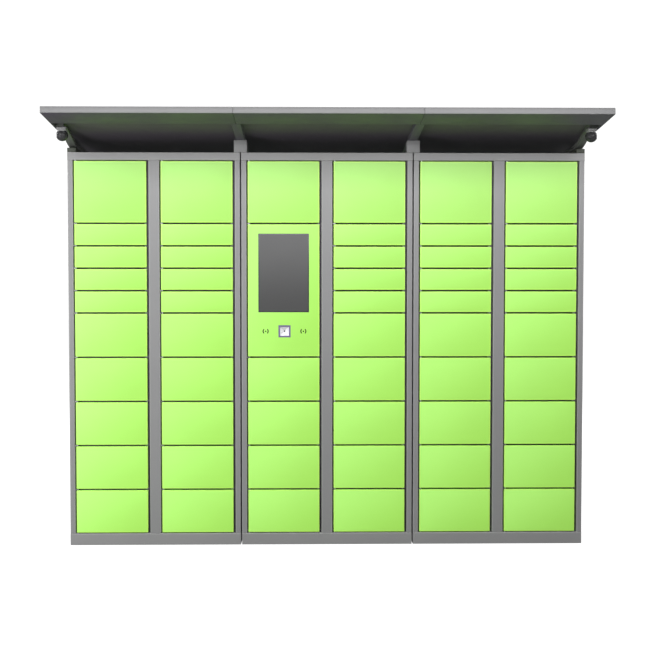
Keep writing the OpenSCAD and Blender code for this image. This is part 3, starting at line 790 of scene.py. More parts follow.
# %% Slope of the canopy
deck_low, deck_high = size_of("canopy_deck")
SHEET_ROOF = 3 * MM
ROOF_FOLD = 30 * MM
deck_points = points_of("canopy_deck")
rear = deck_points[deck_points[:, 1] > deck_high[1] - 2 * MM]
fore = deck_points[deck_points[:, 1] < deck_low[1] + 2 * MM]
top_rear = rear[rear[:, 2].argmax()]
top_fore = fore[fore[:, 2].argmax()]
slope = np.arctan2(top_fore[2] - top_rear[2], top_rear[1] - top_fore[1])
roof_length = np.hypot(top_fore[2] - top_rear[2], top_rear[1] - top_fore[1])
ahead = np.array([0.0, -np.cos(slope), np.sin(slope)])
upright = np.array([0.0, np.sin(slope), np.cos(slope)])
print("slope", round(math.degrees(slope), 2), "degrees; roof", round(roof_length, 3), "m long")


def on_slope(part):
    """Part drawn with x across, y as the distance forwards from the roof's rear top
    edge and z as the height above the roof's top, moved onto the slope."""
    p = part[0]
    across = p[:, :1] * (1.0, 0.0, 0.0)
    place = top_rear * (0, 1, 1) + across + p[:, 1:2] * ahead + p[:, 2:] * upright
    return closed_part((place,) + tuple(part[1:]))


def slope_extent(points):
    """Extent of points in the roof's own frame: (x, forwards, height) low and high."""
    p = points - top_rear * (0, 1, 1)
    local = np.stack([p[:, 0], p @ ahead, p @ upright], 1)
    return local.min(0), local.max(0)


def slope_islands(node):
    """Extent of each separate solid of a node in the roof's own frame."""
    return [slope_extent(points_in(node, lo, hi)) for lo, hi in islands(node)]


# %% [markdown]
# ## Roof sheet, lining and front strip
# The roof is a thin sheet with a dark lining under it and a light strip along the
# front. All three are flat, so a box with slightly round edges is enough: the round
# edge is what catches the light. The lining stops a few millimetres short of the sides.

# %% Roof sheet, lining and fascia
roof_low, roof_high = slope_extent(deck_points)
roof = on_slope(rounded_box((roof_low[0], roof_low[1], -SHEET_ROOF),
                            (roof_high[0], roof_high[1], 0), 1.2 * MM))
finish_piece("roof_sheet", roof, roof_paint, "cabinet", ("canopy_deck",))
lining = on_slope(rounded_box(
    (roof_low[0] + 7 * MM, roof_low[1] + 2 * MM, -SHEET_ROOF - 0.9 * MM),
    (roof_high[0] - 7 * MM, roof_high[1] - 1 * MM, -SHEET_ROOF - 0.1 * MM), 0.3 * MM, 2))
finish_piece("roof_lining", lining, lining_paint, "cabinet")
a, b = slope_extent(points_of("canopy_fascia"))
fascia = [on_slope(rounded_box((lo[0], a[1], a[2]), (hi[0], b[1], b[2]), 1.3 * MM))
          for lo, hi in islands("canopy_fascia")]
finish_piece("canopy_fascia_folded", join_parts(fascia), roof_paint, "cabinet",
             ("canopy_fascia",))
print("roof", round(roof_high[0] - roof_low[0], 3), "m wide,", len(fascia), "front strips")

# %% [markdown]
# ## Beams and arms
# A wide folded beam stiffens the front edge, a second one the rear, and arms between
# them carry the roof back to the cabinets. Each keeps its place from the model, a hair
# below the sheet, and stops a millimetre short of the roof's ends, where a strip of
# the roof's own coat closes the side.

# %% Beams and arms
END_STEP = 1 * MM
UNDER_ROOF = 0.2 * MM


def behind_gable(a, b):
    """Box cut back a step where it reaches the ends of the roof, and kept a hair below it."""
    low = np.maximum(a, (roof_low[0] + END_STEP, a[1], a[2]))
    high = np.minimum(b, (roof_high[0] - END_STEP, b[1], b[2]))
    return low, high - (0, 0, UNDER_ROOF)


beams = [on_slope(rounded_box(*behind_gable(a, b), 3 * MM)) for a, b in slope_islands("canopy_beams")]
finish_piece("canopy_beams_folded", join_parts(beams), band_paint, "cabinet",
             ("canopy_beams",))
arms = []
for a, b in slope_islands("canopy_arms"):
    a, b = behind_gable(a, b)
    arms.append(on_slope(rounded_box(a, b, min(3 * MM, (b - a)[0] * 0.3))))
finish_piece("canopy_arms_folded", join_parts(arms), band_paint, "cabinet",
             ("canopy_arms",))
print(len(beams), "beams,", len(arms), "arms")

# %% [markdown]
# ## Gable strips
# At both ends the roof sheet is folded down, so a narrow light strip runs up the side
# of the canopy. It fills the step that the beams and arms leave.

# %% Gable strips
GABLE = 0.8 * MM
beam_front = slope_extent(points_of("canopy_beams"))[1][1]
gables = [on_slope(rounded_box((x, roof_low[1] + 0.5 * MM, -ROOF_FOLD),
                               (x + GABLE, beam_front, -SHEET_ROOF - UNDER_ROOF), 0.3 * MM, 2))
          for x in (roof_low[0], roof_high[0] - GABLE)]
finish_piece("gable_strips", join_parts(gables), roof_paint, "cabinet")
print(len(gables), "gable strips,", round(beam_front, 3), "m long")

# %% [markdown]
# ## Cranked end arms
# The arm at each end is one bar that is bent twice, from its low foot up to the
# roof's edge. The model's own corners give its lower and upper edge at each bend, and
# a rounded section is carried from bend to bend between them.

# %% Cranked end arms
arm_points = points_of("canopy_end_arms")
cranked = []
for lo, hi in islands("canopy_end_arms"):
    own = np.unique(np.round(arm_points[(arm_points[:, 0] > lo[0] - 1e-5)
                                        & (arm_points[:, 0] < hi[0] + 1e-5)], 6), axis=0)
    ys = np.unique(np.round(own[:, 1], 5))
    under = np.array([own[np.abs(own[:, 1] - y) < 2e-5][:, 2].min() for y in ys])
    over = np.array([own[np.abs(own[:, 1] - y) < 2e-5][:, 2].max() for y in ys])
    keep = over - under > 5 * MM
    ys, under, over = ys[keep], under[keep], over[keep]
    r = 3.5 * MM
    angle = np.concatenate([np.linspace(0, np.pi / 2, 4) + k * np.pi / 2 for k in range(4)])
    sx, sz = np.repeat([1, -1, -1, 1], 4), np.repeat([1, 1, -1, -1], 4)
    mid_x, half_x = (lo[0] + hi[0]) / 2, (hi[0] - lo[0]) / 2
    mid_z, half_z = (under + over) / 2, (over - under) / 2
    px = np.broadcast_to(mid_x + sx * (half_x - r) + r * np.cos(angle), (len(ys), 16))
    pz = mid_z[:, None] + sz * (half_z[:, None] - r) + r * np.sin(angle)
    py = np.broadcast_to(ys[:, None], px.shape)
    points = np.stack([px, py, pz], -1).reshape(-1, 3)
    faces = ring_faces(len(ys), 16)
    faces += [list(range(16))[::-1], list(range(16 * (len(ys) - 1), 16 * len(ys)))]
    cranked.append(closed_part((points, faces, np.zeros(len(points)), None)))
finish_piece("end_arms_bent", join_parts(cranked), arm_paint, "cabinet",
             ("canopy_end_arms",))
print(len(cranked), "cranked arms")

# %% [markdown]
# ## Blocks under the canopy
# Blocks on the cabinets carry the arms. Their tops are cut to the slope, so a level
# rounded box has the upper half of its points moved up or down to the sloping line
# between its front and its rear top edge. The long ones are the feet of the end arms.

# %% Blocks under the canopy
blocks, end_bases = [], []
LONG_BLOCK = 0.15
for lo, hi in islands("canopy_blocks"):
    part = rounded_box(lo, hi, 1.5 * MM)
    points = part[0]
    own = points_in("canopy_blocks", lo, hi)
    fore_top = own[own[:, 1] < lo[1] + 1 * MM][:, 2].max()
    rear_top = own[own[:, 1] > hi[1] - 1 * MM][:, 2].max()
    t = (points[:, 1] - lo[1]) / (hi[1] - lo[1])
    ceiling = fore_top + t * (rear_top - fore_top) - UNDER_ROOF
    lift = (points[:, 2] - lo[2]) / (hi[2] - lo[2])
    points[:, 2] = np.where(lift > 0.5, points[:, 2] - hi[2] + ceiling, points[:, 2])
    kind = end_bases if hi[1] - lo[1] > LONG_BLOCK else blocks
    kind.append(closed_part((points,) + tuple(part[1:])))
finish_piece("canopy_blocks_folded", join_parts(blocks), rail_paint, "cabinet",
             ("canopy_blocks",))
finish_piece("end_arm_bases", join_parts(end_bases), foot_paint, "cabinet")
print(len(blocks), "blocks,", len(end_bases), "arm bases")

# %% [markdown]
# ## Terminal
# The service door is a tray like the others, with cut-outs for the screen, the
# scanner and two pairs of curved sound slots. Its face is a pierced plate, and the
# folds round it are the same stack of rounded rectangles.


# %% Service door
def sound_loops(centre):
    """Outlines of one sound opening: two curved slots and a round hole."""
    outer, inner, half_high, start = 15.5 * MM, 10.4 * MM, 11.5 * MM, 7.4 * MM
    loops = [loop_circle(centre, 3.6 * MM, 12)]
    for side in (1, -1):
        a = np.linspace(-1, 1, 9) * math.asin(half_high / outer)
        b = np.linspace(1, -1, 9) * math.acos(start / inner)
        arc = np.concatenate([np.stack([np.cos(a), np.sin(a)], 1) * outer,
                              [(start, half_high)],
                              np.stack([np.cos(b), np.sin(b)], 1) * inner,
                              [(start, -half_high)]])
        loops.append(arc * (side, 1) + centre)
    return loops


door_low, door_high = size_of("service_door")
door_low[1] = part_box("column_4_door_3")[0].y
glass_low, glass_high = size_of("screen_glass")
scan_low, scan_high = size_of("scanner_window")
speakers = islands("loudspeakers")
scan_mid = (scan_low + scan_high) / 2
opening = 31 * MM
holes = [loop_rectangle(glass_low[[0, 2]] - 0.3 * MM, glass_high[[0, 2]] + 0.3 * MM, 1.0 * MM),
         loop_rectangle(scan_mid[[0, 2]] - opening, scan_mid[[0, 2]] + opening, 1.0 * MM)]
for lo, hi in speakers:
    holes += sound_loops(((lo + hi) / 2)[[0, 2]])
wide, tall = door_high[0] - door_low[0], door_high[2] - door_low[2]
tray = door_tray(door_low, wide, tall, fill_face=False)
rim = rounded_rectangle(wide, tall, DOOR_BEND + 5 * MM, DOOR_CORNER) + door_low[[0, 2]]
face = pierced_plate(rim, holes, door_low[1], door_low[1] + DOOR_SHEET, rim_wall=False)
face = face[:3] + ((face[0][:, [0, 2]] - door_low[[0, 2]]) / (wide, tall),)
service = consistent(weld(join_parts([tray, face])))
finish_piece("service_door_sheet", service, door_paint, "service_door",
             ("service_door",), fold=service[2], sheet=service[3])
print("service door with", len(holes), "openings")

# %% [markdown]
# ## Screen
# The pane is one sheet of glass with a printed dark border. The picture area is a
# single face a hair in front of it, with its own map, so that a painted reflection on it
# can darken slowly from top to foot.

# %% Screen
border = 5 * MM
finish_piece("screen_pane", rounded_box(glass_low, glass_high, 1.2 * MM), border_paint,
             "service_door", ("screen_glass",))
lo = glass_low + (border, -0.05 * MM, border)
hi = glass_high - (border, 0, border)
lit = [(0, 0), (1, 0), (1, 1), (0, 1)]
points = [((lo[0], hi[0])[x], lo[1], (lo[2], hi[2])[z]) for x, z in lit]
finish_piece("screen_picture", (points, [(0, 1, 2, 3)]), screen_paint, "service_door",
             sheet=lit)
print("screen picture", np.round((hi - lo)[[0, 2]] / MM), "mm")

# %% [markdown]
# ## Scanner
# The scanner looks out through a square window. Behind a flat coloured frame a pale
# funnel of four sloping sides leads back to a small lens, and a dark case closes it
# behind. The funnel is four square rings of points joined by quads.

# %% Scanner
body_low, body_high = size_of("scanner_body")
rim_loop = loop_rectangle(scan_mid[[0, 2]] - 30.7 * MM, scan_mid[[0, 2]] + 30.7 * MM, 1.5 * MM)
eye_loop = loop_rectangle(scan_low[[0, 2]], scan_high[[0, 2]], 0.6 * MM)
bezel = pierced_plate(rim_loop, [eye_loop], body_low[1], body_low[1] + 1.4 * MM)
finish_piece("scanner_bezel", bezel, bezel_paint, "service_door",
             ("scanner_body",))
funnel_depth = 22 * MM
eye = (scan_high[0] - scan_low[0]) / 2
behind, gap = body_low[1] + funnel_depth + 4 * MM, 1.2 * MM
outer = loop_rectangle(body_low[[0, 2]] + gap, body_high[[0, 2]] - gap, 3 * MM)
hollow = loop_rectangle(scan_low[[0, 2]] - gap, scan_high[[0, 2]] + gap, 1 * MM)
sleeve = pierced_plate(outer, [hollow], body_low[1] + 2 * MM, behind)
lid = rounded_box((body_low[0] + gap, behind + 0.1 * MM, body_low[2] + gap),
                  body_high - (gap, 0.1 * MM, gap), 2 * MM)
finish_piece("scanner_case", join_parts([sleeve, lid]), black_plastic, "service_door")
print("scanner case", np.round((body_high - body_low) / MM, 1), "mm")
rings = [(eye, body_low[1] + 1.0 * MM), (eye, body_low[1] + 1.6 * MM),
         (eye * 0.14, body_low[1] + funnel_depth), (eye * 0.14, body_low[1] + funnel_depth + 2 * MM)]
points = np.array([(scan_mid[0] + sx * r, y, scan_mid[2] + sz * r)
                   for r, y in rings for sx, sz in ((1, 1), (-1, 1), (-1, -1), (1, -1))])
faces = ring_faces(4, 4) + [[12, 13, 14, 15]]
finish_piece("scanner_funnel", (points, [f[::-1] for f in faces]), funnel_paint,
             "service_door", ("scanner_window",), smooth_angle=20)
lens = rounded_box((scan_mid[0] - eye * 0.13, body_low[1] + funnel_depth - 1 * MM,
                    scan_mid[2] - eye * 0.2),
                   (scan_mid[0] + eye * 0.13, body_low[1] + funnel_depth + 1 * MM,
                    scan_mid[2] + eye * 0.2), 1 * MM)
finish_piece("scanner_lens", lens, black_plastic, "service_door")

# %% [markdown]
# ## Loudspeakers
# A loudspeaker sits behind each pair of slots: a dust cap, a paper cone, a soft ring
# and a basket. All of it is round, so one profile is carried round the axis.

# %% Loudspeakers
cones = []
for lo, hi in speakers:
    centre = ((lo + hi) / 2) * (1, 0, 1) + (0, lo[1], 0)
    r = (hi[0] - lo[0]) / 2
    cones.append(turned([(0, 16 * MM), (3 * MM, 13 * MM), (5 * MM, 11 * MM), (13 * MM, 3 * MM),
                         (15 * MM, 1.5 * MM), (16.5 * MM, 2.4 * MM), (17 * MM, 0.6 * MM), (r - 1 * MM, 0),
                         (r, 1 * MM), (r, 4 * MM), (r * 0.6, 16 * MM), (r * 0.6, 21 * MM),
                         (0, 22 * MM)], centre, (0, 1, 0), 32))
finish_piece("loudspeaker_cones", join_parts(cones), black_plastic, "service_door",
             ("loudspeakers",))
print(len(cones), "loudspeakers")

# %% [markdown]
# ## Cameras
# Each camera is a ball in a round seat under the canopy. The ball is a grey shell cut
# open at its front, with a dark glass dome set a little inside the cut and a ring
# round the lens. It looks down and in towards the door faces. Everything is turned
# round the line along which the camera looks.

# %% Camera balls and sockets
for side, name in ((-1, "left"), (1, "right")):
    node = "camera_ball_" + name
    lo, hi = size_of(node)
    r = (hi[0] - lo[0]) / 2
    centre = np.array([(lo[0] + hi[0]) / 2, (lo[1] + hi[1]) / 2, lo[2] + r])
    turn, tilt = math.radians(35), math.radians(35)
    look = np.array([-side * math.sin(turn) * math.cos(tilt), -math.cos(turn) * math.cos(tilt),
                     -math.sin(tilt)])
    parting = math.radians(78)
    angle = np.linspace(math.pi, parting, 24)
    shell = turned(np.concatenate([np.stack([np.sin(angle), np.cos(angle)], 1) * r,
                                   [(r * 0.9, r * 0.19), (0, r * 0.1)]]), centre, look, 40)
    stem = turned([(0, 0), (4 * MM, 0), (4 * MM, hi[2] - centre[2]), (0, hi[2] - centre[2])], centre)
    finish_piece(node + "_shell", join_parts([shell, stem]), shell_grey, node,
                 (node,), smooth_angle=28)
    angle = np.linspace(parting - 0.03, 0, 20)
    seat = [(0, r * 0.2), (r * 0.9, r * 0.24), (r * 0.955, r * 0.245)]
    bulge = np.stack([np.sin(angle), np.cos(angle)], 1) * r * 0.985
    dome = turned(np.concatenate([seat, bulge]), centre, look, 40)
    ring = turned([(11 * MM, 26.2 * MM), (12.2 * MM, 25.9 * MM), (12.4 * MM, 26.3 * MM),
                   (11.4 * MM, 26.9 * MM)], centre, look, 32, closed=True)
    finish_piece(node + "_dome", dome, lens_glass, node, smooth_angle=40)
    finish_piece(node + "_lens_ring", ring, black_plastic, node)

sockets = []
for lo, hi in islands("camera_sockets"):
    mid = (lo + hi) / 2
    r = (hi[0] - lo[0]) / 2
    sockets.append(rounded_box((lo[0], lo[1], lo[2] + 8 * MM), hi - (0, 0, 1.5 * MM), 3 * MM))
    sockets.append(turned([(r * 0.93, 0), (r * 0.98, 1 * MM), (r * 0.98, 12 * MM), (0, 12 * MM),
                           (0, 9 * MM), (r * 0.88, 9 * MM), (r * 0.88, 0)],
                          (mid[0], mid[1], lo[2]), (0, 0, 1), 32))
finish_piece("camera_sockets_moulded", join_parts(sockets), frame_paint, "cabinet",
             ("camera_sockets",))
print(len(sockets) // 2, "camera sockets")

# %% [markdown]
# ## Door seals
# Soft strips line the lips of the shelves and the lock side of every column, so the
# gaps round the doors are not open to the weather. Each strip stays clear of the
# doors, the lock bodies and the hinge brackets.

# %% Seal strips
seals = []
shelf_front = size_of("shelves")[0][1]
post_boxes = islands("front_posts")
for lo, hi in islands("shelves"):
    seals.append(rounded_box((lo[0] + 0.4 * MM, shelf_front - 1.6 * MM, lo[2] + 0.2 * MM),
                             (hi[0] - 24 * MM, shelf_front - 0.1 * MM, hi[2] - 0.2 * MM), 0.7 * MM))
foot, head = post_boxes[:, 0, 2].min() + 1 * MM, post_boxes[:, 1, 2].max() - 1 * MM
for x in sorted({round(float(hi[0]), 5) for lo, hi in islands("shelves")}):
    seals.append(rounded_box((x - 11.5 * MM, shelf_front - 1.6 * MM, foot),
                             (x - 0.3 * MM, shelf_front + 1.0 * MM, head), 0.7 * MM))
finish_piece("door_seals", join_parts(seals), seal_rubber, "cabinet")
print(len(seals), "seal strips")

# %% [markdown]
# ## Fasteners
# Rivets and screws repeat hundreds of times, so one small head is worked out once and
# copied to all its places by adding arrays.


# %% Copies and heads
def copies(part, places):
    """One part repeated at each place, as a single part."""
    places = np.asarray(places, float)
    points, faces, fold, _ = part
    n = len(points)
    spread = (places[:, None] + points[None]).reshape(-1, 3)
    made = [[i + n * k for i in face] for k in range(len(places)) for face in faces]
    return spread, made, np.tile(fold, len(places)), None


def domed_head(radius, height, axis, steps=10):
    """Low dome with a rounded brim, for a rivet or a pan-head screw."""
    profile = [(radius, 0), (radius, height * 0.3), (radius * 0.8, height * 0.75),
               (radius * 0.4, height), (0, height)]
    return turned([(0, 0)] + profile, (0, 0, 0), axis, steps)


def hex_head(across, height, axis):
    """Six-sided head with a chamfer on its outer edge."""
    r = across / math.sqrt(3)
    profile = [(0, 0), (r, 0), (r, height * 0.8), (r * 0.88, height), (0, height)]
    return turned(profile, (0, 0, 0), axis, 6)


def row_of(start, end, count):
    """Evenly spaced places from start to end."""
    return np.linspace(start, end, count)


# %% [markdown]
# ## Cabinet shell
# Side panels have shallow pressed ribs that stop the sheet from drumming. The ribs
# are a smooth step in the height of the surface: flat outside the rib, flat inside
# it and a cosine ramp between. The back panels are riveted round their edges, and
# the middle one has rows of pressed louvres that let the controller's heat out.


# %% Pressed sheets
def pressed_sheet(low, high, normal, inward, ribs, depth, ramp):
    """Sheet that fills the box from low to high in its plane, pressed inwards in
    ribs given as (u0, u1, v0, v1). The depth at a point is the product of a cosine
    ramp from each side of the rib."""
    axes = [a for a in range(3) if a != normal]
    marks = [np.array([low[a], high[a]]) for a in axes]
    for rib in ribs:
        for k in (0, 1):
            ends = np.array([rib[2 * k], rib[2 * k + 1]])
            steps = np.concatenate([[-1.5 * MM], np.linspace(0, ramp, 6), [ramp + 1.5 * MM]])
            marks[k] = np.concatenate([marks[k], ends[0] + steps, ends[1] - steps])
    u, v = (np.unique(np.round(m, 6)) for m in marks)
    grid_u, grid_v = np.meshgrid(u, v, indexing="ij")
    press = np.zeros_like(grid_u)

    def step(x, a, b):
        t = np.clip(np.minimum(x - a, b - x) / ramp, 0, 1)
        return (1 - np.cos(np.pi * t)) / 2

    for u0, u1, v0, v1 in ribs:
        press = np.maximum(press, step(grid_u, u0, u1) * step(grid_v, v0, v1))
    thick = high[normal] - low[normal]
    outer = low[normal] if inward > 0 else high[normal]
    layers = []
    for k in (0, 1):
        layer = np.zeros(grid_u.shape + (3,))
        layer[..., axes[0]], layer[..., axes[1]] = grid_u, grid_v
        layer[..., normal] = outer + inward * (press * depth + k * thick)
        layers.append(layer.reshape(-1, 3))
    nu, nv = grid_u.shape
    i = np.arange(nu - 1)[:, None] * nv + np.arange(nv - 1)
    quads = np.stack([i, i + 1, i + nv + 1, i + nv], -1).reshape(-1, 4)
    edge = np.concatenate([np.arange(nv), np.arange(1, nu) * nv + nv - 1,
                           (nu - 1) * nv + np.arange(nv - 2, -1, -1),
                           np.arange(nu - 2, 0, -1) * nv])
    n = nu * nv
    wall = [[a, b, b + n, a + n] for a, b in zip(edge.tolist(), np.roll(edge, -1).tolist())]
    faces = quads.tolist() + (quads[:, ::-1] + n).tolist() + wall
    return consistent((np.concatenate(layers), faces, np.zeros(2 * n), None))


sides, rivets = [], []
RIB_HIGH, RIB_DEEP, RIB_RAMP, RIB_END = 34 * MM, 4 * MM, 7 * MM, 90 * MM
for lo, hi in islands("side_panels"):
    middle = (lo[0] + hi[0]) / 2
    inward = 1 if (middle / (cad_high[0] / 3) + 3) % 2 < 1 else -1
    ribs = [(lo[1] + RIB_END, hi[1] - RIB_END, z, z + RIB_HIGH)
            for z in row_of(lo[2] + 150 * MM, hi[2] - 190 * MM, 5)]
    sides.append(pressed_sheet(lo, hi, 0, inward, ribs, RIB_DEEP, RIB_RAMP))
finish_piece("side_panels_pressed", join_parts(sides), frame_paint, "cabinet",
             ("side_panels",), smooth_angle=50)
gland = sum(size_of("cable_gland")) / 2
backs, GLAND_HOLE = [], 9.3 * MM
for lo, hi in islands("back_panels"):
    for z in row_of(lo[2] + 30 * MM, hi[2] - 30 * MM, 14):
        rivets += [(lo[0] + 12 * MM, hi[1], z), (hi[0] - 12 * MM, hi[1], z)]
    for x in row_of(lo[0] + 90 * MM, hi[0] - 90 * MM, 6):
        rivets += [(x, hi[1], lo[2] + 14 * MM), (x, hi[1], hi[2] - 14 * MM)]
    outline = loop_rectangle(lo[[0, 2]] + 0.3 * MM, hi[[0, 2]] - 0.3 * MM, 1 * MM)
    bored = lo[0] < gland[0] < hi[0]
    holes = [loop_circle(gland[[0, 2]], GLAND_HOLE, 24)] if bored else []
    backs.append(closed_part(pierced_plate(outline, holes, lo[1], hi[1])))
finish_piece("back_panels_riveted", join_parts(backs), frame_paint, "cabinet",
             ("back_panels",))
print(len(sides), "side panels,", len(backs), "back panels")

# %% [markdown]
# ## Louvres and rivets
# A louvre is a hood pressed out of the sheet over a slit. Only the hood is drawn,
# because it hides the slit. It is half an ellipse in section, and its size fades along
# its length with the root of 1 - x^4, so its ends are blunt and round. One hood and
# one rivet head are made once and copied to their places.

# %% Louvres and rivets
HOOD_HALF, HOOD_DEEP, HOOD_HIGH = 42, 5, 7
hood_angle = np.linspace(0, np.pi, 9)
along = np.linspace(-1, 1, 11)
swell = np.sqrt(np.clip(1 - along ** 4, 0, 1))
hood = np.stack([np.broadcast_to(along[:, None] * HOOD_HALF * MM, (11, 9)),
                 np.sin(hood_angle) * swell[:, None] * HOOD_DEEP * MM,
                 np.cos(hood_angle) * swell[:, None] * HOOD_HIGH * MM], -1).reshape(-1, 3)
hood = closed_part(consistent(weld((hood, ring_faces(11, 9), np.zeros(len(hood)), None))))
mid_low, mid_high = [b for b in islands("back_panels") if b[0][0] < gland[0] < b[1][0]][0]
LOWER_FIELD = 1.32
vents = [(x, mid_high[1] - 0.3 * MM, z) for z in row_of(mid_high[2] - 0.34, mid_high[2] - 0.14, 9)
         for x in (mid_low[0] + 0.22, mid_low[0] + 0.33, mid_high[0] - 0.33, mid_high[0] - 0.22)]
vents += [(x, y, z - LOWER_FIELD) for x, y, z in vents]
louvres = copies(hood, vents)
finish_piece("back_louvres", louvres, frame_paint, "cabinet")
heads = copies(domed_head(4.5 * MM, 1.8 * MM, (0, 1, 0), 8), rivets)
finish_piece("back_rivets", heads, bright_zinc, "cabinet")
print(len(vents), "louvres,", len(rivets), "rivets")

# %% [markdown]
# ## Top panels, column walls and end caps
# The top panels are plain sheets. The column walls are pierced with two rows of
# upright slots. Caps close the open ends of the rails, the plinths and the long
# channels of the base.

# %% Top panels, column walls and end caps
tops = [rounded_box(lo, hi, 0.7 * MM, 2) for lo, hi in islands("top_panels")]
finish_piece("top_panels_flat", join_parts(tops), frame_paint, "cabinet",
             ("top_panels",))
wall_parts = []
SLOT_HALF, SLOT_HIGH = 7 * MM, 46 * MM
for lo, hi in islands("column_walls"):
    slots = [loop_rectangle((y - SLOT_HALF, z), (y + SLOT_HALF, z + SLOT_HIGH), 6.5 * MM, 3)
             for y in (hi[1] - 90 * MM, hi[1] - 240 * MM)
             for z in row_of(lo[2] + 90 * MM, hi[2] - 160 * MM, 9)]
    outline = loop_rectangle(lo[[1, 2]], hi[[1, 2]], 0.8 * MM, 2)
    wall_parts.append(closed_part(pierced_plate(outline, slots, lo[0], hi[0], (1, 2, 0))))
finish_piece("column_walls_pierced", join_parts(wall_parts), zinc, "cabinet",
             ("column_walls",))


def caps_of(lo, hi, rim, rear):
    """Thin caps a millimetre inside both ends of a channel, clear of its sheet by rim
    and of its rear edge by rear."""
    return [rounded_box((x, lo[1] + rim, lo[2] + rim), (x + 1.5 * MM, hi[1] - rear, hi[2] - rim),
                        0.7 * MM, 2) for x in (lo[0] + 1 * MM, hi[0] - 2.5 * MM)]


caps = []
for node in ("plinth_fronts", "top_rails"):
    for lo, hi in islands(node):
        caps += caps_of(lo, hi, 2.1 * MM, 0.5 * MM)
for lo, hi in islands("base_frames"):
    if hi[0] - lo[0] > 0.5:
        caps += caps_of(lo, hi, 3.2 * MM, 3.2 * MM)
finish_piece("end_caps", join_parts(caps), frame_paint, "cabinet")
print(len(wall_parts), "column walls,", len(caps), "end caps")

# %% [markdown]
# ## Shelves and hinges
# A shelf is one sheet whose front edge is folded into a lip. The doors of a column
# turn on one long rod, which brackets hold at every shelf.

# %% Shelves
shelf_parts = []
t, r = 1.5 * MM, 0.5 * MM
for lo, hi in islands("shelves"):
    own = points_in("shelves", lo, hi)
    flat_z = own[own[:, 1] > hi[1] - 0.1 * MM][:, 2]
    base, top = flat_z.min(), flat_z.max()
    outline = [(lo[1] + r, lo[2]), (lo[1] + t - r, lo[2])]
    if base - lo[2] > 1 * MM:
        outline += [(lo[1] + t, lo[2] + r), (lo[1] + t, base)]
    outline += [(hi[1] - r, base), (hi[1], base + r), (hi[1], top - r), (hi[1] - r, top)]
    if hi[2] - top > 1 * MM:
        outline += [(lo[1] + t, top), (lo[1] + t, hi[2] - r)]
    outline += [(lo[1] + t - r, hi[2]), (lo[1] + r, hi[2]), (lo[1], hi[2] - r), (lo[1], lo[2] + r)]
    outline = np.array(outline)
    shelf_parts.append(closed_part(carry(outline, np.zeros(len(outline)), lo[0], hi[0], (1, 2, 0))))
finish_piece("shelves_folded", join_parts(shelf_parts), zinc, "cabinet",
             ("shelves",))
print(len(shelf_parts), "shelves")

# %% [markdown]
# ## Hinge rods and brackets
# A rod is a turned bar with a small chamfer at both ends. A bracket is a flat plate
# with a hole for the rod. All brackets are alike, so one is made from the first box
# and its nearest rod, and then copied to every other place.

# %% Hinge rods and brackets
rod_parts = []
rods = islands("hinge_rods")
for lo, hi in rods:
    r, length = (hi[0] - lo[0]) / 2, hi[2] - lo[2]
    profile = [(0, 0), (r - 0.8 * MM, 0), (r, 0.8 * MM), (r, length - 0.8 * MM),
               (r - 0.8 * MM, length), (0, length)]
    rod_parts.append(turned(profile, ((lo[0] + hi[0]) / 2, (lo[1] + hi[1]) / 2, lo[2]), steps=20))
finish_piece("hinge_rods_turned", join_parts(rod_parts), bright_zinc, "cabinet",
             ("hinge_rods",))
bracket_boxes = islands("hinge_brackets")
lo, hi = bracket_boxes[0]
rod = min(rods, key=lambda b: abs(b[0][0] - lo[0]))
pin = ((rod[0] + rod[1]) / 2)[:2] - lo[:2]
outline = loop_rectangle((0.0, 0.0), (hi - lo)[:2], 3.5 * MM, 5)
bracket = closed_part(pierced_plate(outline, [loop_circle(pin, 3.2 * MM, 16)], 0.0, hi[2] - lo[2],
                                    (0, 1, 2)))
bracket_parts = copies(bracket, bracket_boxes[:, 0])
finish_piece("hinge_brackets_pierced", bracket_parts, bright_zinc, "cabinet",
             ("hinge_brackets",))
print(len(rod_parts), "rods,", len(bracket_boxes), "brackets")

# %% [markdown]
# ## Locks
# A lock is a moulded case with a steel face plate, held by two screws. The bolt slides
# through a hole in the plate into the keeper of the door. All locks are alike, so one
# is drawn from the first box and copied to the others.

# %% Lock cases and bolts
lock_boxes = islands("lock_bodies")
lo, hi = lock_boxes[0]
size = hi - lo
bolt_boxes = islands("lock_bolts_left")
bolt = min(bolt_boxes, key=lambda b: np.abs((b[0] + b[1]) / 2 - (lo + hi) / 2).sum())
eye_at = ((bolt[0] + bolt[1]) / 2 - lo)[[1, 2]]
plate = closed_part(pierced_plate(
    loop_rectangle((1 * MM, 1 * MM), size[[1, 2]] - 1 * MM, 2 * MM),
    [loop_circle(eye_at, 4.4 * MM, 16)], 0.2 * MM, 1.6 * MM, (1, 2, 0)))
case = rounded_box((2.0 * MM, 0, 0), size, 2.5 * MM, 3)
cover = rounded_box((5 * MM, 0, 5 * MM), (size[0] - 5 * MM, 0.4 * MM, size[2] - 5 * MM),
                    0.2 * MM, 2)
screws = copies(domed_head(3.2 * MM, 1.4 * MM, (-1, 0, 0), 10),
                [(0.3 * MM, size[1] - 9 * MM, z) for z in (8 * MM, size[2] - 8 * MM)])
cases = copies(join_parts([case, cover]), lock_boxes[:, 0])
finish_piece("lock_cases", cases, black_plastic, "cabinet",
             ("lock_bodies",))
plates = copies(join_parts([plate, screws]), lock_boxes[:, 0])
finish_piece("lock_plates", plates, bright_zinc, "cabinet")
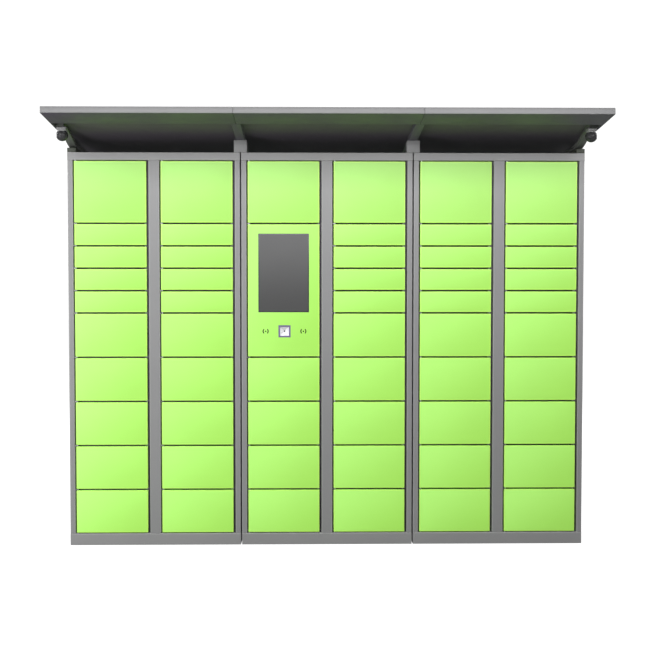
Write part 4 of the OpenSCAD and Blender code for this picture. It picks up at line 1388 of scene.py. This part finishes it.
for side in ("left", "middle", "right"):
    node = "lock_bolts_" + side
    boxes = islands(node)
    r, length = (boxes[0][1][1] - boxes[0][0][1]) / 2, boxes[0][1][0] - boxes[0][0][0]
    shape = turned([(0, 0), (r - 1.2 * MM, 0), (r, 1.6 * MM), (r, length), (0, length)],
                   (0, r, r), (1, 0, 0), 16)
    bolts = copies(shape, boxes[:, 0])
    finish_piece(node + "_turned", bolts, bright_zinc, node, (node,))
print(len(lock_boxes), "locks")

# %% [markdown]
# ## Joining bolts
# Neighbouring cabinets are bolted together side by side. A bolt is a round shank with
# a six-sided head at one end and a nut like it at the other.

# %% Joining bolts
joins = []
HEAD_WIDE, HEAD_HIGH, SHANK = 12 * MM, 5 * MM, 4 * MM
for lo, hi in islands("joining_bolts"):
    _, y, z = (lo + hi) / 2
    shank = hi[0] - lo[0] - 8 * MM
    joins.append(moved(hex_head(HEAD_WIDE, HEAD_HIGH, (-1, 0, 0)), (lo[0] + HEAD_HIGH, y, z)))
    joins.append(moved(hex_head(HEAD_WIDE, HEAD_HIGH, (1, 0, 0)), (hi[0] - HEAD_HIGH, y, z)))
    joins.append(turned([(0, 0), (SHANK, 0), (SHANK, shank), (0, shank)],
                        (lo[0] + 4 * MM, y, z), (1, 0, 0), 14))
finish_piece("joining_bolts_hex", join_parts(joins), bright_zinc, "cabinet",
             ("joining_bolts",))
print(len(joins) // 3, "joining bolts")

# %% [markdown]
# ## Service space
# Behind the service door are the back of the display, the controller and its power
# supply. The cable gland in the back panel is empty: no cable is fitted.

# %% Display back, controller and gland
lo, hi = size_of("display_module")
pane_back = size_of("screen_glass")[1][1]
shell = [rounded_box((lo[0], pane_back + 0.1 * MM, lo[2]), (hi[0], hi[1] - 8 * MM, hi[2]), 2.5 * MM),
         rounded_box((lo[0] + 18 * MM, hi[1] - 9 * MM, lo[2] + 18 * MM),
                     (hi[0] - 18 * MM, hi[1], hi[2] - 18 * MM), 3 * MM)]
ridge = rounded_box((0, 0, 0), (4 * MM, 1.6 * MM, 90 * MM), 0.7 * MM, 2)
fins = copies(ridge, [(x, hi[1] - 1.8 * MM, (lo[2] + hi[2]) / 2 - 45 * MM)
                      for x in row_of(lo[0] + 60 * MM, hi[0] - 64 * MM, 14)])
finish_piece("display_housing", join_parts(shell + [fins]), black_plastic, "service_door",
             ("display_module",))
boxes = islands("controller_box")
case_parts, trim = [], []
for lo, hi in boxes:
    case_parts.append(rounded_box((lo[0] + 2 * MM, lo[1] + 14 * MM, lo[2] + 2 * MM),
                                  (hi[0] - 2 * MM, hi[1], hi[2] - 2 * MM), 3 * MM))
    case_parts.append(rounded_box((lo[0], lo[1] + 1 * MM, lo[2]), (hi[0], lo[1] + 13 * MM, hi[2]), 4 * MM))
    corners = [(x, lo[1] + 1.2 * MM, z) for x in (lo[0] + 10 * MM, hi[0] - 10 * MM)
               for z in (lo[2] + 10 * MM, hi[2] - 10 * MM)]
    trim.append(copies(domed_head(4 * MM, 1.2 * MM, (0, -1, 0), 12), corners))
    slit = rounded_box((0, 0, 0), (2.4 * MM, 0.8 * MM, 40 * MM), 0.35 * MM, 2)
    trim.append(copies(slit, [(x, lo[1] + 0.6 * MM, (lo[2] + hi[2]) / 2 - 20 * MM)
                              for x in row_of(lo[0] + 45 * MM, hi[0] - 48 * MM, 12)]))
finish_piece("controller_cases", join_parts(case_parts), controller_paint, "cabinet",
             ("controller_box",))
finish_piece("controller_trim", join_parts(trim), black_plastic, "cabinet")
print(len(boxes), "controller cases")

# %% [markdown]
# ## Cable gland
# The gland is a hollow fitting: a fixed hexagon, a domed cap outside, a ribbed shank
# through the panel and a lock nut inside. Each part is a closed profile carried round
# the same axis, with six steps where it is a hexagon.

# %% Cable gland
bore, back = 6.5 * MM, (gland[0], mid_high[1], gland[2])
ridges = [(9 * MM - (0.6 * MM if k % 2 else 0), -k * 0.9 * MM) for k in range(14)]
gland_parts = [
    turned([(bore, 0), (12.6 * MM, 0), (13 * MM, 0.6 * MM), (13 * MM, 5.4 * MM), (12.4 * MM, 6 * MM),
            (bore, 6 * MM)], back, (0, 1, 0), 6, closed=True),
    turned([(bore, 6 * MM), (11.4 * MM, 6 * MM), (11.6 * MM, 9 * MM), (10.4 * MM, 13 * MM),
            (8.4 * MM, 15.6 * MM), (7.4 * MM, 16 * MM), (bore, 15.6 * MM)],
           back, (0, 1, 0), 28, closed=True),
    turned([(bore, 0)] + ridges + [(bore, -13.4 * MM)], back, (0, 1, 0), 20, closed=True),
    turned([(9.4 * MM, -1.6 * MM), (13 * MM, -1.6 * MM), (13 * MM, -7 * MM), (9.4 * MM, -7 * MM)],
           back, (0, 1, 0), 6, closed=True)]
finish_piece("cable_gland_moulded", join_parts(gland_parts), black_plastic, "cabinet",
             ("cable_gland",))
print(len(gland_parts), "gland parts")

# %% [markdown]
# ## Roof seams
# The roof sheets are joined by standing seams that run up the slope. A seam is a
# half-round rib that fades out well before the front edge, which stays flat. The arms
# are screwed to the roof from below near their front ends.

# %% Standing seams
SEAM_HIGH, SEAM_HALF, SEAM_FADE = 11 * MM, 7 * MM, 40 * MM
seam_end = roof_high[1] - 0.2
seam_along = np.linspace(roof_low[1] + 2 * MM, seam_end, 12)
seam_high = SEAM_HIGH * np.clip((seam_end - seam_along) / SEAM_FADE, 0.02, 1)
seam_high[0] = 0.3 * MM
arch = np.linspace(0, np.pi, 9)
rib = np.stack([np.broadcast_to(np.cos(arch) * SEAM_HALF, (12, 9)),
                np.broadcast_to(seam_along[:, None], (12, 9)),
                np.sin(arch) * seam_high[:, None] - 0.4 * MM], -1).reshape(-1, 3)
rib_faces = ring_faces(12, 9)
rib_faces += [list(range(9))[::-1], list(range(99, 108))]
seam_part = (rib, rib_faces, np.zeros(len(rib)), None)
seams = [on_slope(consistent(moved(seam_part, (x, 0, 0))))
         for x in row_of(roof_low[0] + 20 * MM, roof_high[0] - 20 * MM, 7)]
finish_piece("roof_seams", join_parts(seams), roof_paint, "cabinet",
             smooth_angle=50)
screw_places = []
for a, b in slope_islands("canopy_arms"):
    if b[0] - a[0] > 20 * MM:
        x = (a[0] + b[0]) / 2
        screw_places += [(x + dx, b[1] - 20 * MM, a[2]) for dx in (-12 * MM, 12 * MM)]
heads = copies(domed_head(5 * MM, 1.5 * MM, (0, 0, -1), 12), screw_places)
heads = on_slope((heads[0] + (0, 0, 0.4 * MM),) + tuple(heads[1:]))
finish_piece("arm_screws", heads, band_paint, "cabinet")
print(len(seams), "seams,", len(screw_places), "arm screws")

# %% [markdown]
# ## Pieces kept from the model
# A node that no new piece stands for stays as the model has it and only gets a
# coating. The base frames are such pieces.

# %% Carried-over pieces
paints = {
    "frame_grey": frame_paint, "galvanised": zinc, "bright_steel": bright_zinc,
    "canopy_light": roof_paint, "canopy_dark": band_paint, "camera_shell": shell_grey,
    "black_plastic": black_plastic, "controller_grey": controller_paint,
    "door_green": door_paint, "screen_glass": black_plastic, "scanner_frame": controller_paint,
    "scanner_window": roof_paint,
}
for row in frame["record"]["subparts"]:
    for place in frame["nodes"][row["node"]].material_slots:
        place.material = paints[row["material_slot"]]
